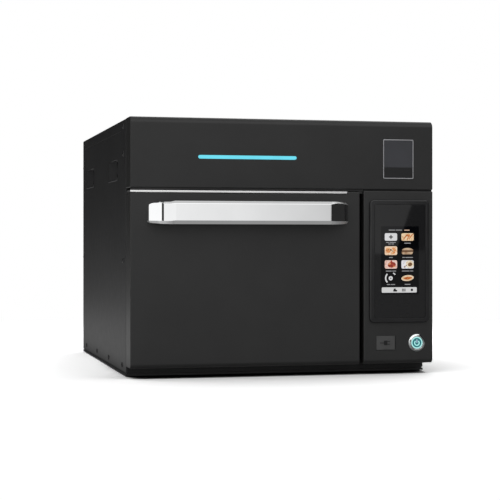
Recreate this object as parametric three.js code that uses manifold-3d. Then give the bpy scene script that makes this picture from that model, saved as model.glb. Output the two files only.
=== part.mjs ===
// Countertop speed oven: hot air from jet plates and microwaves cook in one small cavity.
// Millimetres. X runs to the right, Y from the door face to the back, Z up from the table.
import * as THREE from 'three';
import { mergeVertices } from 'three/addons/utils/BufferGeometryUtils.js';
import Module from 'manifold-3d';

const wasm = await Module();
wasm.setup();

// Overall size
const width = 500;
const height = 412;
const depth = 600;

// Sheet metal, clearances and cuts
const sheet = 1.5;
const linerSheet = 1.2;
const fit = 0.3;
const looseFit = 3;
const overrun = 2;
const bendRadius = 2.5;
const fasciaWall = 2;

// Division of the front
const fasciaDepth = 44;
const seam = 2.5;
const headerGap = 3.9;
const headerRadius = 10;
const footRadius = 7;
const edgeRadius = 1.5;
const columnWidth = 125;
const doorBottom = 16.5;
const panelGap = 6.6;
const panelHeadGap = 2.4;
const panelBottom = 17;
const standoffSide = 14;
const standoffInset = 10;
const earHeight = 4.5;
const earSetback = 6;
const wiringSide = 50;

// Base tray and feet
const footProud = 1.5;
const trayRim = 5;
const trayFlangeTop = 19;
const padRadius = 20;
const studRadius = 4;
const studHeadRadius = 7;
const studHeadHeight = 2.5;
const footInsetX = 45;
const footInsetY = 60;
const airSlotLength = 60;
const airSlotWidth = 4;
const airSlotPitch = 10;
const floorSlotCount = 6;
const floorSlotInsetX = 155;
const floorSlotInsetY = 270;

// Cabinet walls
const panelFoot = 6.5;
const frontBand = 49.5;
const rearBand = 42;
const coverFlange = 17.4;
const lapLength = 12;
const railFoot = 7;
const railTop = 58;
const railDepth = 18;
const railLip = 9;

// Hand-holds pressed into the side panels
const handholdFrontInset = 91.5;
const handholdRearInset = 163;
const handholdLength = 104;
const handholdFlat = 34;
const handholdDepth = 20;
const handholdHeight = 33.5;

// Cooking cavity, centred behind the door
const cavitySideMargin = 32.5;
const cavityHeadMargin = 44.4;
const cavityLow = 70;
const cavityHeight = 182;
const rearCompartment = 215;
const frameOpeningMargin = 3;
const linerFlange = 6;
const ledgeReach = 8;
const ledgeHeight = 4;
const ledgeFrontInset = 18;
const ledgeBackInset = 13;
const lowerJetRise = 14;
const upperJetDrop = 16;
const rackShares = [0.25, 0.55];
const ductSlotWidth = 190;
const ductSlotHeight = 7;
const grilleHoleRadius = 7;
const grillePitch = 20;
const grilleColumns = 5;
const grilleRows = 4;
const portWidth = 40;
const portHeight = 40;
const portBackInset = 59;
const portDrop = 65;

// Jet plates
const jetPlateSheet = 1.5;
const jetPlateInset = 12;
const nozzleRadius = 6;
const nozzleWall = 1.2;
const nozzleLength = 8;
const nozzleColumns = 4;
const nozzleRows = 3;
const nozzleSideInset = 56;
const nozzleEndInset = 78.5;
const jetHoleColumns = 4;
const jetHoleRows = 3;

// Wire rack
const rackRodRadius = 2.5;
const rackWireRadius = 1.5;
const rackWirePitch = 24;
const rackFrontInset = 28;
const rackBackInset = 17;
const rackSideGap = 1.5;

// Insulation blanket
const blanket = 22;
const blanketInset = 28;
const blanketHoleRadius = 66;

// Hot air blower
const housingDepth = 51;
const blowerRadius = 60;
const blowerInset = 13;
const blowerDepth = 26;
const blowerPlate = 1.5;
const blowerInletRadius = 34;
const bladeCount = 14;
const bladeThickness = 1.6;
const bladeInnerRadius = 30;
const bladeSweep = 38;
const hubRadius = 11;
const hubDepth = 14;
const shaftRadius = 5;
const shaftNutRadius = 6;
const shaftNutHeight = 2.5;
const motorStandoff = 34;
const motorRadius = 44;
const motorLength = 84;
const motorBossRadius = 16;
const motorBossLength = 8;
const motorBevel = 2.5;
const motorRib = 3;
const bracketHalf = 50;
const bracketPostRadius = 4;
const bracketPostInset = 8;
const heaterRadius = 74;
const heaterTube = 3.5;
const heaterPitch = 9;
const heaterTurns = 2;
const heaterLeg = 26;
const catalystHalfX = 58;
const catalystHalfZ = 48;
const catalystDepth = 8;
const catalystCell = 14;
const catalystWall = 3;

// Microwave parts
const guideWall = 1.5;
const guideWidth = 60;
const guideHeight = 60;
const guideLength = 38;
const antennaRadius = 7;
const antennaLength = 20;
const magnetronWidth = 72;
const magnetronDepth = 80;
const magnetronHeight = 94;
const magnetronCore = 20;
const finThickness = 1.5;
const finPitch = 13;
const finCount = 5;
const filterBox = 30;
const transformerInsetX = 100;
const transformerInsetY = 82;
const transformerWidth = 85;
const transformerDepth = 66;
const transformerHeight = 88;
const transformerFoot = 5;
const coilReach = 14;
const capacitorInsetX = 58;
const capacitorGapY = 56;
const capacitorRadius = 16;
const capacitorSpan = 26;
const capacitorHeight = 84;
const terminalRadius = 3;
const terminalHeight = 8;

// Cooling fan
const fanInsetX = 54;
const fanZ = 116;
const fanSide = 92;
const fanDepth = 25;
const fanBore = 42.5;
const fanHubRadius = 17;
const fanHubDepth = 7;
const fanPinRadius = 3;
const fanBladeCount = 6;
const fanBladeTip = 40.5;
const fanBladeDepth = 14;
const fanBladeThickness = 2;
const fanBladePitch = 38;
const fanStrutDepth = 2.5;
const fanStrutHeight = 4;

// Rear panel
const rearSlotRows = 8;
const intakeInsetX = 100;
const intakeZ = 70;
const intakeRows = 10;
const exhaustRows = 4;
const glandInsetX = 45;
const glandZ = 45;
const glandRadius = 10;
const glandFlangeRadius = 15;
const glandFlange = 6;
const glandDome = 16;
const glandBore = 5.5;
const glandTail = 14;

// Door
const doorSheet = 1.5;
const trimHeight = 3.4;
const trimDepth = 34;
const trimInset = 21.5;
const innerPanelBack = 43.7;
const plugDepth = 8.5;
const chokeThickness = 1.2;
const chokeWidth = 14;
const chokeSlotWidth = 4;
const chokeSlotLength = 9;
const chokeSlotPitch = 30;
const doorBlanketMargin = 8;
const hingeY = 22;
const hingeZ = 26;
const hingeInset = 18;
const hingePinRadius = 2.5;
const hingeEyeRadius = 5.5;
const bracketPlate = 3;
const bracketFootHeight = 28;
const bracketFootHalf = 12;
const earPlate = 2.5;
const earGap = 0.4;
const armTop = 76;
const armFootHalf = 12;
const armFootLow = 42;
const pinHeadRadius = 4;
const pinHead = 1.5;
const notchHalf = 2.3;
const notchReach = 6.3;
const hookInset = 12;
const hookDrop = 17.1;
const hookHeight = 16;
const hookThickness = 3;
const hookReach = 24;
const hookNose = 7;
const hookNoseLength = 8;
const hookRise = 6;
const hookBase = 8;
const switchRise = 8;
const switchHeight = 16;
const switchHalf = 5;
const switchDepth = 24;
const leverHalf = 2;
const leverDepth = 6;
const leverDrop = 2.8;

// Handle
const handleOffset = 2.05;
const handleEndInset = 62.45;
const handleReach = 39;
const handleThickness = 11;
const handleDrop = 17.3;
const handleHeight = 36.5;
const handleTopChamfer = 4.3;
const handleBottomChamfer = 5.7;
const handleChamferDepth = 3;
const handleBackRound = 2;
const handleTipDrop = 4.5;
const handleTipRise = 3.2;
const handleTipTaper = 2.1;
const handleTipFlare = 2;
const handleTipTopChamfer = 1.8;
const handleTipBottomChamfer = 4.9;
const handleArcSteps = 8;
const boltRadius = 2.5;
const boltHeadRadius = 5;
const boltHead = 3.5;
const boltGrip = 12;

// Header panel and its status light
const lightOffset = 1.1;
const lightLength = 160.4;
const lightHeight = 5.4;
const lightDrop = 6.5;
const lightDepth = 12;
const lightFlange = 3;
const lightFlangeDepth = 3;
const lightBoardHeight = 22;
const lightBoardMargin = 8;
const boardThickness = 1.6;

// Control panel
const bezelInsetX = 7.5;
const bezelWidth = 101.5;
const bezelRise = 67;
const bezelDrop = 14.4;
const bezelProud = 5;
const bezelRadius = 7;
const bezelBevel = 2;
const glassInsetLeft = 8;
const glassInsetRight = 7;
const glassInsetZ = 7.5;
const glassRadius = 3;
const glassThickness = 2.4;
const glassRecess = 0.6;
const bezelLedge = 3;
const bezelLedgeDepth = 1.6;
const collarWall = 2;
const collarDepth = 8;
const lcdInsetX = 5;
const lcdWidth = 76;
const lcdDrop = 30;
const lcdHeight = 122;
const lcdDepth = 7;
const controlBoardMargin = 3;
const chipDepth = 9;
const usbInsetX = 64.6;
const usbWidth = 32.7;
const usbLow = 39.1;
const usbHigh = 62.9;
const usbPocket = 2.9;
const usbCoverRecess = 0.4;
const usbCoverThickness = 2;
const usbBarrelRadius = 1.2;
const usbPinRadius = 0.7;
const usbPinLength = 1.4;
const usbBoreRadius = 1;
const usbPortWidth = 13.4;
const usbPortHeight = 6;
const usbPortZ = 49.2;
const usbSocketWall = 0.5;
const usbSocketLength = 16;
const usbTongue = 1.8;
const usbFlange = 1.5;
const buttonInsetX = 27.6;
const buttonZ = 50.4;
const buttonRing = 14;
const buttonRingProud = 2;
const buttonBarrel = 12.5;
const buttonBore = 11.2;
const buttonCapGap = 0.4;
const buttonCapProud = 1.2;
const buttonCapLength = 9;
const buttonDish = 0.8;
const buttonBarrelLength = 13;
const buttonSwitchLength = 26;
const buttonNut = 16;
const buttonNutDepth = 4;
const lightRingInner = 7.8;
const lightRingOuter = 9.5;
const lightRingDepth = 1.2;

// Facets of round features
const arcSteps = 3;
const roundSides = 20;
const smallSides = 12;
const motorSides = 16;
const footSides = 10;
const coilSteps = 10;
const holeSides = 8;
const tubeSides = 6;

// Places across the oven that follow from the sizes above
const left = -width / 2;
const right = width / 2;
const doorWidth = width - columnWidth;
const doorRight = left + doorWidth;
const panelLeft = doorRight + panelGap;
const cavityWidth = doorWidth - cavitySideMargin * 2;
const cavityCentre = (left + doorRight) / 2;
const cavityLeft = cavityCentre - cavityWidth / 2;
const cavityRight = cavityCentre + cavityWidth / 2;
const handleCentre = cavityCentre + handleOffset;
const handleFlat = doorWidth - handleEndInset * 2;
const trimLength = doorWidth - trimInset;
const lightCentreX = cavityCentre + lightOffset;
const bezelRight = right - bezelInsetX;
const bezelLeft = bezelRight - bezelWidth;
const glassRight = bezelRight - glassInsetRight;
const glassLeft = bezelLeft + glassInsetLeft;
const lcdRight = glassRight - lcdInsetX;
const lcdLeft = lcdRight - lcdWidth;
const usbRight = right - usbInsetX;
const usbLeft = usbRight - usbWidth;
const buttonX = right - buttonInsetX;
const transformerX = right - transformerInsetX;
const capacitorX = right - capacitorInsetX;
const fanX = right - fanInsetX;
const glandX = right - glandInsetX;
const floorSlotX = right - floorSlotInsetX;
const intakeX = left + intakeInsetX;

// Places from front to back
const frameFront = fasciaDepth + seam;
const frameBack = frameFront + sheet;
const linerFront = frameBack + fit;
const bandEnd = frameFront + frontBand;
const rearStart = depth - rearBand;
const cavityBack = depth - rearCompartment;
const handholdFronts = [frameFront + handholdFrontInset, depth - handholdRearInset];
const ledgeStart = frameBack + ledgeFrontInset;
const ledgeEnd = cavityBack - ledgeBackInset;
const jetPlateFront = frameBack + jetPlateInset;
const rackFront = frameBack + rackFrontInset;
const rackBack = cavityBack - rackBackInset;
const blanketFront = frameBack + blanketInset;
const housingBack = cavityBack + housingDepth;
const blowerFront = cavityBack + blowerInset;
const motorFront = housingBack + motorStandoff;
const portCentreY = cavityBack - portBackInset;
const transformerY = frameBack + transformerInsetY;
const capacitorY = transformerY + transformerDepth + capacitorGapY;
const floorSlotY = depth - floorSlotInsetY;

// Levels, from the table up
const trayBottom = footProud;
const trayFloor = footProud + sheet;
const cavityHigh = cavityLow + cavityHeight;
const cavityMiddle = (cavityLow + cavityHigh) / 2;
const doorTop = cavityHigh + cavityHeadMargin;
const headerBottom = doorTop + headerGap;
const headerMiddle = (headerBottom + height) / 2;
const lightCentreZ = headerMiddle - lightDrop;
const handholdMiddle = (cavityHigh + blanket + height - coverFlange) / 2;
const handholdLow = handholdMiddle - handholdHeight / 2;
const handholdHigh = handholdMiddle + handholdHeight / 2;
const handleTop = doorTop - handleDrop;
const handleBottom = handleTop - handleHeight;
const hookHigh = doorTop - hookDrop;
const hookLow = hookHigh - hookHeight;
const switchLow = hookHigh + switchRise;
const panelTop = headerBottom - panelHeadGap;
const bezelHigh = panelTop - bezelDrop;
const bezelLow = panelBottom + bezelRise;
const glassHigh = bezelHigh - glassInsetZ;
const glassLow = bezelLow + glassInsetZ;
const lcdHigh = glassHigh - lcdDrop;
const lcdLow = lcdHigh - lcdHeight;
const lowerJetLevel = cavityLow + lowerJetRise;
const upperJetLevel = cavityHigh - upperJetDrop;
const [rackLevel, upperRackLevel] = rackShares.map(
  (share) => lowerJetLevel + (upperJetLevel - lowerJetLevel) * share,
);
const portCentreZ = cavityHigh - portDrop;

// Openings and plugs that fit each other
const openLeft = cavityLeft - frameOpeningMargin;
const openRight = cavityRight + frameOpeningMargin;
const openLow = cavityLow - frameOpeningMargin - linerSheet;
const openHigh = cavityHigh + frameOpeningMargin + linerSheet;
const plugLeft = cavityLeft + looseFit;
const plugRight = cavityRight - looseFit;
const plugLow = cavityLow + looseFit;
const plugHigh = cavityHigh - looseFit;
const inset = sheet + fit;
const handleArc = handleReach - fit;

// A closed triangle geometry as a solid that can be cut and joined
function solidOf(geometry) {
  const bare = geometry.clone();
  bare.deleteAttribute('normal');
  bare.deleteAttribute('uv');
  const merged = mergeVertices(bare);
  const source = merged.index.array;
  const triangles = [];
  for (let i = 0; i < source.length; i += 3) {
    const [a, b, c] = [source[i], source[i + 1], source[i + 2]];
    if (a !== b && b !== c && c !== a) {
      triangles.push(a, b, c);
    }
  }
  return new wasm.Manifold(new wasm.Mesh({
    numProp: 3,
    vertProperties: new Float32Array(merged.attributes.position.array),
    triVerts: new Uint32Array(triangles),
  }));
}

function geometryOf(solid) {
  const mesh = solid.getMesh();
  const geometry = new THREE.BufferGeometry();
  geometry.setAttribute('position', new THREE.BufferAttribute(mesh.vertProperties, 3));
  geometry.setIndex(new THREE.BufferAttribute(mesh.triVerts, 1));
  geometry.computeVertexNormals();
  return geometry;
}

function joined(solids) {
  return solids.reduce((whole, next) => whole.add(next));
}

function cut(solid, tools) {
  return tools.reduce((rest, tool) => rest.subtract(tool), solid);
}

// Outlines
function outline(points) {
  return new THREE.Shape(points.map(([u, v]) => new THREE.Vector2(u, v)));
}

function arcPoints(u, v, radius, from, to, steps = arcSteps) {
  const points = [];
  for (let i = 0; i <= steps; i += 1) {
    const angle = THREE.MathUtils.degToRad(from + ((to - from) * i) / steps);
    points.push([u + radius * Math.cos(angle), v + radius * Math.sin(angle)]);
  }
  return points;
}

function rectangle(u0, u1, v0, v1) {
  return outline([[u0, v0], [u1, v0], [u1, v1], [u0, v1]]);
}

// Corner radii run from the low left corner anticlockwise
function roundedRectangle(u0, u1, v0, v1, radii) {
  const corners = [[u0, v0, 1, 1, 180], [u1, v0, -1, 1, 270], [u1, v1, -1, -1, 0], [u0, v1, 1, -1, 90]];
  const points = corners.flatMap(([u, v, du, dv, start], i) => {
    const r = radii[i];
    return r > 0 ? arcPoints(u + du * r, v + dv * r, r, start, start + 90) : [[u, v]];
  });
  return outline(points);
}

function disc(u, v, radius, sides = smallSides) {
  const turn = 360 / sides;
  return outline(arcPoints(u, v, radius, turn / 2, 360 - turn / 2, sides - 1));
}

// A hole whose flats, not its corners, lie at the radius
function bore(u, v, radius, sides = smallSides) {
  return disc(u, v, radius / Math.cos(Math.PI / sides), sides);
}

// Extrusions along the three axes, with outlines in (y, z), (x, z) and (x, y)
const unitX = new THREE.Vector3(1, 0, 0);
const unitY = new THREE.Vector3(0, 1, 0);
const unitZ = new THREE.Vector3(0, 0, 1);
const backward = new THREE.Vector3(0, -1, 0);

function extruded(shape, length) {
  return new THREE.ExtrudeGeometry(shape, { depth: length, bevelEnabled: false });
}

function alongX(shape, x0, x1) {
  const geometry = extruded(shape, x1 - x0);
  geometry.applyMatrix4(new THREE.Matrix4().makeBasis(unitY, unitZ, unitX));
  return solidOf(geometry.translate(x0, 0, 0));
}

function alongY(shape, y0, y1) {
  const geometry = extruded(shape, y1 - y0);
  geometry.applyMatrix4(new THREE.Matrix4().makeBasis(unitX, unitZ, backward));
  return solidOf(geometry.translate(0, y1, 0));
}

function alongZ(shape, z0, z1) {
  return solidOf(extruded(shape, z1 - z0).translate(0, 0, z0));
}

function block(x0, x1, y0, y1, z0, z1) {
  const geometry = new THREE.BoxGeometry(x1 - x0, y1 - y0, z1 - z0);
  return solidOf(geometry.translate((x0 + x1) / 2, (y0 + y1) / 2, (z0 + z1) / 2));
}

// A revolved solid about the Y axis, from points [radius, y]; a profile that touches the axis starts there
function revolved(profile, sides = roundSides) {
  let area = 0;
  for (let i = 0; i < profile.length; i += 1) {
    const [r0, y0] = profile[i];
    const [r1, y1] = profile[(i + 1) % profile.length];
    area += r0 * y1 - r1 * y0;
  }
  const ordered = area > 0 ? profile : [...profile].reverse();
  const onAxis = ordered.findIndex(([r], i) => r === 0 && ordered.at(i - 1)[0] === 0);
  const closed = onAxis < 0
    ? [...ordered, ordered[0]]
    : [...ordered.slice(onAxis), ...ordered.slice(0, onAxis)];
  const points = closed.map(([r, y]) => new THREE.Vector2(r, y));
  return solidOf(new THREE.LatheGeometry(points, sides));
}

// A solid skinned over rings of points, one ring to the next, with flat ends
function lofted(rings) {
  const count = rings[0].length;
  const positions = rings.flat().flatMap((p) => [p.x, p.y, p.z]);
  const index = [];
  for (let i = 0; i < rings.length - 1; i += 1) {
    for (let j = 0; j < count; j += 1) {
      const a = i * count + j;
      const b = i * count + ((j + 1) % count);
      index.push(a, b, b + count, a, b + count, a + count);
    }
  }
  const last = (rings.length - 1) * count;
  for (let j = 1; j < count - 1; j += 1) {
    index.push(0, j + 1, j);
    index.push(last, last + j, last + j + 1);
  }
  const geometry = new THREE.BufferGeometry();
  geometry.setAttribute('position', new THREE.Float32BufferAttribute(positions, 3));
  geometry.setIndex(index);
  return solidOf(geometry);
}

function rowOf(count, pitch, centre = 0) {
  return Array.from({ length: count }, (_, i) => centre + (i - (count - 1) / 2) * pitch);
}

// A fascia: a shell open at the back, rounded along its front edges
function fascia(x0, x1, z0, z1, lowRadius, highRadius, wall) {
  const sideView = roundedRectangle(0, fasciaDepth, z0, z1, [lowRadius, 0, 0, highRadius]);
  const topView = roundedRectangle(x0, x1, 0, fasciaDepth, [edgeRadius, edgeRadius, 0, 0]);
  const frontView = roundedRectangle(x0, x1, z0, z1, [edgeRadius, edgeRadius, edgeRadius, edgeRadius]);
  const body = alongX(sideView, x0, x1)
    .intersect(alongZ(topView, z0, z1))
    .intersect(alongY(frontView, 0, fasciaDepth));
  const lowInner = Math.max(lowRadius - wall, 0);
  const highInner = Math.max(highRadius - wall, 0);
  const hollow = alongX(
    roundedRectangle(wall, fasciaDepth + overrun, z0 + wall, z1 - wall, [lowInner, 0, 0, highInner]),
    x0 + wall,
    x1 - wall,
  );
  return body.subtract(hollow);
}

// Posts inside a fascia that seat it on the front frame and keep the seam open
function standoffs(x0, x1, z0, z1, wall) {
  const posts = [];
  for (const x of [x0 + standoffInset, x1 - standoffInset - standoffSide]) {
    for (const z of [z0 + standoffInset, z1 - standoffInset - standoffSide]) {
      posts.push(block(x, x + standoffSide, wall / 2, frameFront - fit, z, z + standoffSide));
    }
  }
  return posts;
}

// Cabinet

function baseTray() {
  const rim = block(left, right, frameFront, depth, trayBottom, trayRim);
  const flange = block(
    left + inset, right - inset, frameBack + fit, depth - inset, trayBottom, trayFlangeTop,
  );
  const wall = inset + sheet;
  const hollow = block(
    left + wall, right - wall, frameBack + fit + sheet, depth - wall, trayFloor, trayFlangeTop + overrun,
  );
  const studHoles = footPlaces().map(([x, y]) => alongZ(
    bore(x, y, studRadius + fit, footSides), trayBottom - overrun, trayFloor + overrun,
  ));
  const slots = rowOf(floorSlotCount, airSlotPitch, floorSlotY).map((y) => block(
    floorSlotX, floorSlotX + airSlotLength, y, y + airSlotWidth, trayBottom - overrun, trayFloor + overrun,
  ));
  return cut(rim.add(flange), [hollow, ...studHoles, ...slots]);
}

function footPlaces() {
  const places = [];
  for (const x of [left + footInsetX, right - footInsetX]) {
    for (const y of [frameFront + footInsetY, depth - footInsetY]) {
      places.push([x, y]);
    }
  }
  return places;
}

function foot() {
  const padTop = footProud - fit;
  const headLow = trayFloor + fit;
  const profile = [
    [0, 0], [padRadius, 0], [padRadius, padTop], [studRadius, padTop], [studRadius, headLow],
    [studHeadRadius, headLow], [studRadius, headLow + studHeadHeight], [0, headLow + studHeadHeight],
  ];
  return revolved(profile, footSides);
}

// The outline of a hand-hold seen from above, as distances behind the panel face
function handholdOutline(side, front, reach, lip) {
  const face = (side * width) / 2;
  const back = front + handholdLength;
  const points = [
    [face + side * overrun * (lip > 0 ? 0 : 1), front - lip],
    [face - side * reach, front - lip],
    [face - side * reach, front + handholdFlat],
    [face - side * (reach - handholdDepth), back + lip],
    [face + side * overrun * (lip > 0 ? 0 : 1), back + lip],
  ];
  return outline(points);
}

function sidePanel(side) {
  const outer = (side * width) / 2;
  const inner = outer - side * sheet;
  const low = Math.min(outer, inner);
  const plate = block(
    low, low + sheet, bandEnd + fit, rearStart - fit, panelFoot, height - coverFlange - fit,
  );
  const pressed = handholdFronts.map((front) => alongZ(
    handholdOutline(side, front, handholdDepth + sheet, sheet), handholdLow - sheet, handholdHigh + sheet,
  ));
  const hollows = handholdFronts.map((front) => alongZ(
    handholdOutline(side, front, handholdDepth, 0), handholdLow, handholdHigh,
  ));
  return cut(joined([plate, ...pressed]), hollows);
}

function topCover() {
  const low = height - coverFlange;
  const y0 = bandEnd + fit;
  const y1 = rearStart - fit;
  const outer = roundedRectangle(left, right, low, height, [0, 0, bendRadius, bendRadius]);
  const innerBend = bendRadius - sheet;
  const inner = roundedRectangle(
    left + sheet, right - sheet, low - overrun, height - sheet, [0, 0, innerBend, innerBend],
  );
  return alongY(outer, y0, y1).subtract(alongY(inner, y0 - overrun, y1 + overrun));
}

function frontFrame() {
  const topView = roundedRectangle(left, right, frameFront, bandEnd, [edgeRadius, edgeRadius, 0, 0]);
  const frontView = roundedRectangle(left, right, panelFoot, height, [0, 0, bendRadius, bendRadius]);
  const body = alongZ(topView, panelFoot, height).intersect(alongY(frontView, frameFront, bandEnd));
  const hollow = block(
    left + sheet, right - sheet, frameBack, bandEnd + overrun, panelFoot - overrun, height - sheet,
  );
  const cutFront = frameFront - overrun;
  const cutBack = frameBack + overrun;
  const railGap = block(
    left + sheet, right - sheet, cutFront, cutBack, panelFoot - overrun, railTop + fit,
  );
  const opening = block(openLeft, openRight, cutFront, cutBack, openLow, openHigh);
  const wiring = block(
    lcdRight - wiringSide, lcdRight, cutFront, cutBack, lcdLow, lcdLow + wiringSide,
  );
  const hookSlots = hookPlaces().map((x) => block(
    x - hookThickness, x + hookThickness, cutFront, cutBack, hookLow - hookNose - hookRise / 2,
    hookHigh + hookRise,
  ));
  const laps = [-1, 1].map((side) => lap(side, bandEnd, 1));
  return joined([cut(body, [hollow, railGap, opening, wiring, ...hookSlots]), ...laps]);
}

// A joggled tongue that lies behind the edge of a side panel, on the front frame or the rear panel
function lap(side, edge, direction) {
  const outer = (side * width) / 2;
  const face = outer - side * inset;
  const root = outer - side * (sheet / 2);
  const behind = face - side * sheet;
  const rootEdge = edge - direction * lapLength;
  const tip = edge + direction * lapLength;
  const low = trayFlangeTop + looseFit;
  const high = height - coverFlange - looseFit;
  const between = (x, y) => block(
    Math.min(x, behind), Math.max(x, behind), Math.min(rootEdge, y), Math.max(rootEdge, y), low, high,
  );
  return between(face, tip).add(between(root, edge));
}

function lowerFrontRail() {
  const y0 = frameFront;
  const y1 = frameFront + railDepth;
  const profile = outline([
    [y0, railFoot], [y0 + sheet, railFoot], [y0 + sheet, railTop - sheet], [y1 - sheet, railTop - sheet],
    [y1 - sheet, railTop - railLip], [y1, railTop - railLip], [y1, railTop], [y0, railTop],
  ]);
  const rail = alongX(profile, left + inset, right - inset);
  const half = bracketPlate / 2 + fit;
  const slots = hingePlaces().map((x) => block(
    x - half, x + half, y0 - overrun, y0 + sheet + overrun, hingeZ - hingeEyeRadius - fit,
    hingeZ + hingeEyeRadius + fit,
  ));
  return cut(rail, slots);
}

function slotRows(x, z, rows, length) {
  return rowOf(rows, airSlotPitch, z).map((level) => block(
    x - length / 2, x + length / 2, depth - sheet - overrun, depth + overrun, level - airSlotWidth / 2,
    level + airSlotWidth / 2,
  ));
}

function rearPanel() {
  const topView = roundedRectangle(left, right, rearStart, depth, [0, 0, edgeRadius, edgeRadius]);
  const frontView = roundedRectangle(left, right, panelFoot, height, [0, 0, bendRadius, bendRadius]);
  const body = alongZ(topView, panelFoot, height).intersect(alongY(frontView, rearStart, depth));
  const hollow = block(
    left + sheet, right - sheet, rearStart - overrun, depth - sheet, panelFoot - overrun, height - sheet,
  );
  const fanSlots = slotRows(fanX, fanZ, rearSlotRows, fanSide - airSlotPitch);
  const intake = slotRows(intakeX, intakeZ + intakeRows * airSlotPitch / 2, intakeRows, airSlotLength);
  const exhaust = slotRows(cavityCentre, handholdMiddle, exhaustRows, airSlotLength);
  const glandHole = alongY(
    bore(glandX, glandZ, glandRadius + fit), depth - sheet - overrun, depth + overrun,
  );
  const laps = [-1, 1].map((side) => lap(side, rearStart, -1));
  return joined([cut(body, [hollow, ...fanSlots, ...intake, ...exhaust, glandHole]), ...laps]);
}

// Drawn about its own axis, with the panel's outer face at zero
function cableGland() {
  const flangeFoot = fit;
  const flangeTop = fit + glandFlange;
  const top = flangeTop + glandDome;
  const nutTop = -sheet - fit;
  const tail = nutTop - glandTail;
  const profile = [
    [glandBore, tail], [glandRadius, tail], [glandRadius, nutTop - glandFlange],
    [glandFlangeRadius, nutTop - glandFlange], [glandFlangeRadius, nutTop], [glandRadius, nutTop],
    [glandRadius, flangeFoot], [glandFlangeRadius, flangeFoot], [glandFlangeRadius, flangeTop],
    [glandRadius, flangeTop], [glandRadius, top - glandDome / 3], [glandBore + fasciaWall, top],
    [glandBore, top],
  ];
  return revolved(profile, smallSides);
}

// Header and status light

function headerPanel() {
  const shell = fascia(left, right, headerBottom, height, edgeRadius, headerRadius, fasciaWall);
  const posts = standoffs(left, right, headerBottom, height, fasciaWall);
  const half = lightHeight / 2 + fit;
  const slot = roundedRectangle(
    lightCentreX - lightLength / 2 - fit, lightCentreX + lightLength / 2 + fit,
    lightCentreZ - half, lightCentreZ + half, [half, half, half, half],
  );
  return cut(joined([shell, ...posts]), [alongY(slot, -overrun, fasciaWall + overrun)]);
}

function statusLightPipe() {
  const half = lightHeight / 2;
  const x0 = lightCentreX - lightLength / 2;
  const x1 = lightCentreX + lightLength / 2;
  const bar = roundedRectangle(x0, x1, lightCentreZ - half, lightCentreZ + half, [half, half, half, half]);
  const flangeFront = fasciaWall + fit;
  const flange = block(
    x0 - lightFlange, x1 + lightFlange, flangeFront, flangeFront + lightFlangeDepth,
    lightCentreZ - half - lightFlange, lightCentreZ + half + lightFlange,
  );
  return alongY(bar, 0, lightDepth).add(flange);
}

function statusLightBoard() {
  const y0 = lightDepth + fit;
  const x0 = lightCentreX - lightLength / 2 - lightBoardMargin;
  const x1 = lightCentreX + lightLength / 2 + lightBoardMargin;
  const board = block(
    x0, x1, y0, y0 + boardThickness, lightCentreZ - lightBoardHeight / 2, lightCentreZ + lightBoardHeight / 2,
  );
  const plug = block(
    x1 - lightBoardHeight, x1 - lightBoardMargin, y0, y0 + chipDepth, lightCentreZ - lightFlange,
    lightCentreZ + lightFlange,
  );
  return board.add(plug);
}

// Control panel

function controlPanel() {
  const shell = fascia(panelLeft, right, panelBottom, panelTop, footRadius, edgeRadius, fasciaWall);
  const posts = standoffs(panelLeft, right, panelBottom, panelTop, fasciaWall);
  const ear = block(
    doorRight + fit, panelLeft + fasciaWall, earSetback, fasciaDepth, panelTop - earHeight, panelTop,
  );
  const usbShell = block(
    usbLeft - fasciaWall, usbRight + fasciaWall, fasciaWall / 2, usbPocket + fasciaWall,
    usbLow - fasciaWall, usbHigh + fasciaWall,
  );
  const usbHollow = block(usbLeft, usbRight, -overrun, usbPocket, usbLow, usbHigh);
  const usbCentre = (usbLeft + usbRight) / 2;
  const windowX = usbPortWidth / 2 + fit;
  const windowZ = usbPortHeight / 2 + fit;
  const usbWindow = block(
    usbCentre - windowX, usbCentre + windowX, 0, usbPocket + fasciaWall + overrun, usbPortZ - windowZ,
    usbPortZ + windowZ,
  );
  const pinY = usbCoverRecess + usbCoverThickness / 2;
  const pinZ = usbHigh - fit - usbBarrelRadius;
  const pinBores = [usbLeft - usbPinLength - fit, usbRight - fit].map((x) => alongX(
    bore(pinY, pinZ, usbBoreRadius, holeSides), x, x + usbPinLength + fit + fit,
  ));
  const buttonHole = alongY(
    bore(buttonX, buttonZ, buttonBarrel + fit, roundSides), -overrun, fasciaWall + overrun,
  );
  const collar = collarOutline(fit);
  const window = alongY(collar, -overrun, fasciaWall + overrun);
  const clearPosts = alongY(collar, fasciaWall, frameFront + overrun);
  const clearButton = alongY(
    bore(buttonX, buttonZ, buttonNut + looseFit, smallSides), fasciaWall, frameFront + overrun,
  );
  const keptPosts = cut(joined(posts), [clearPosts, clearButton]);
  const body = joined([shell, keptPosts, ear, usbShell]);
  return cut(body, [usbHollow, usbWindow, ...pinBores, buttonHole, window]);
}

function collarOutline(margin) {
  const grow = collarWall + margin;
  const radius = glassRadius + grow;
  return roundedRectangle(
    glassLeft - grow, glassRight + grow, glassLow - grow, glassHigh + grow, [radius, radius, radius, radius],
  );
}

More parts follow.
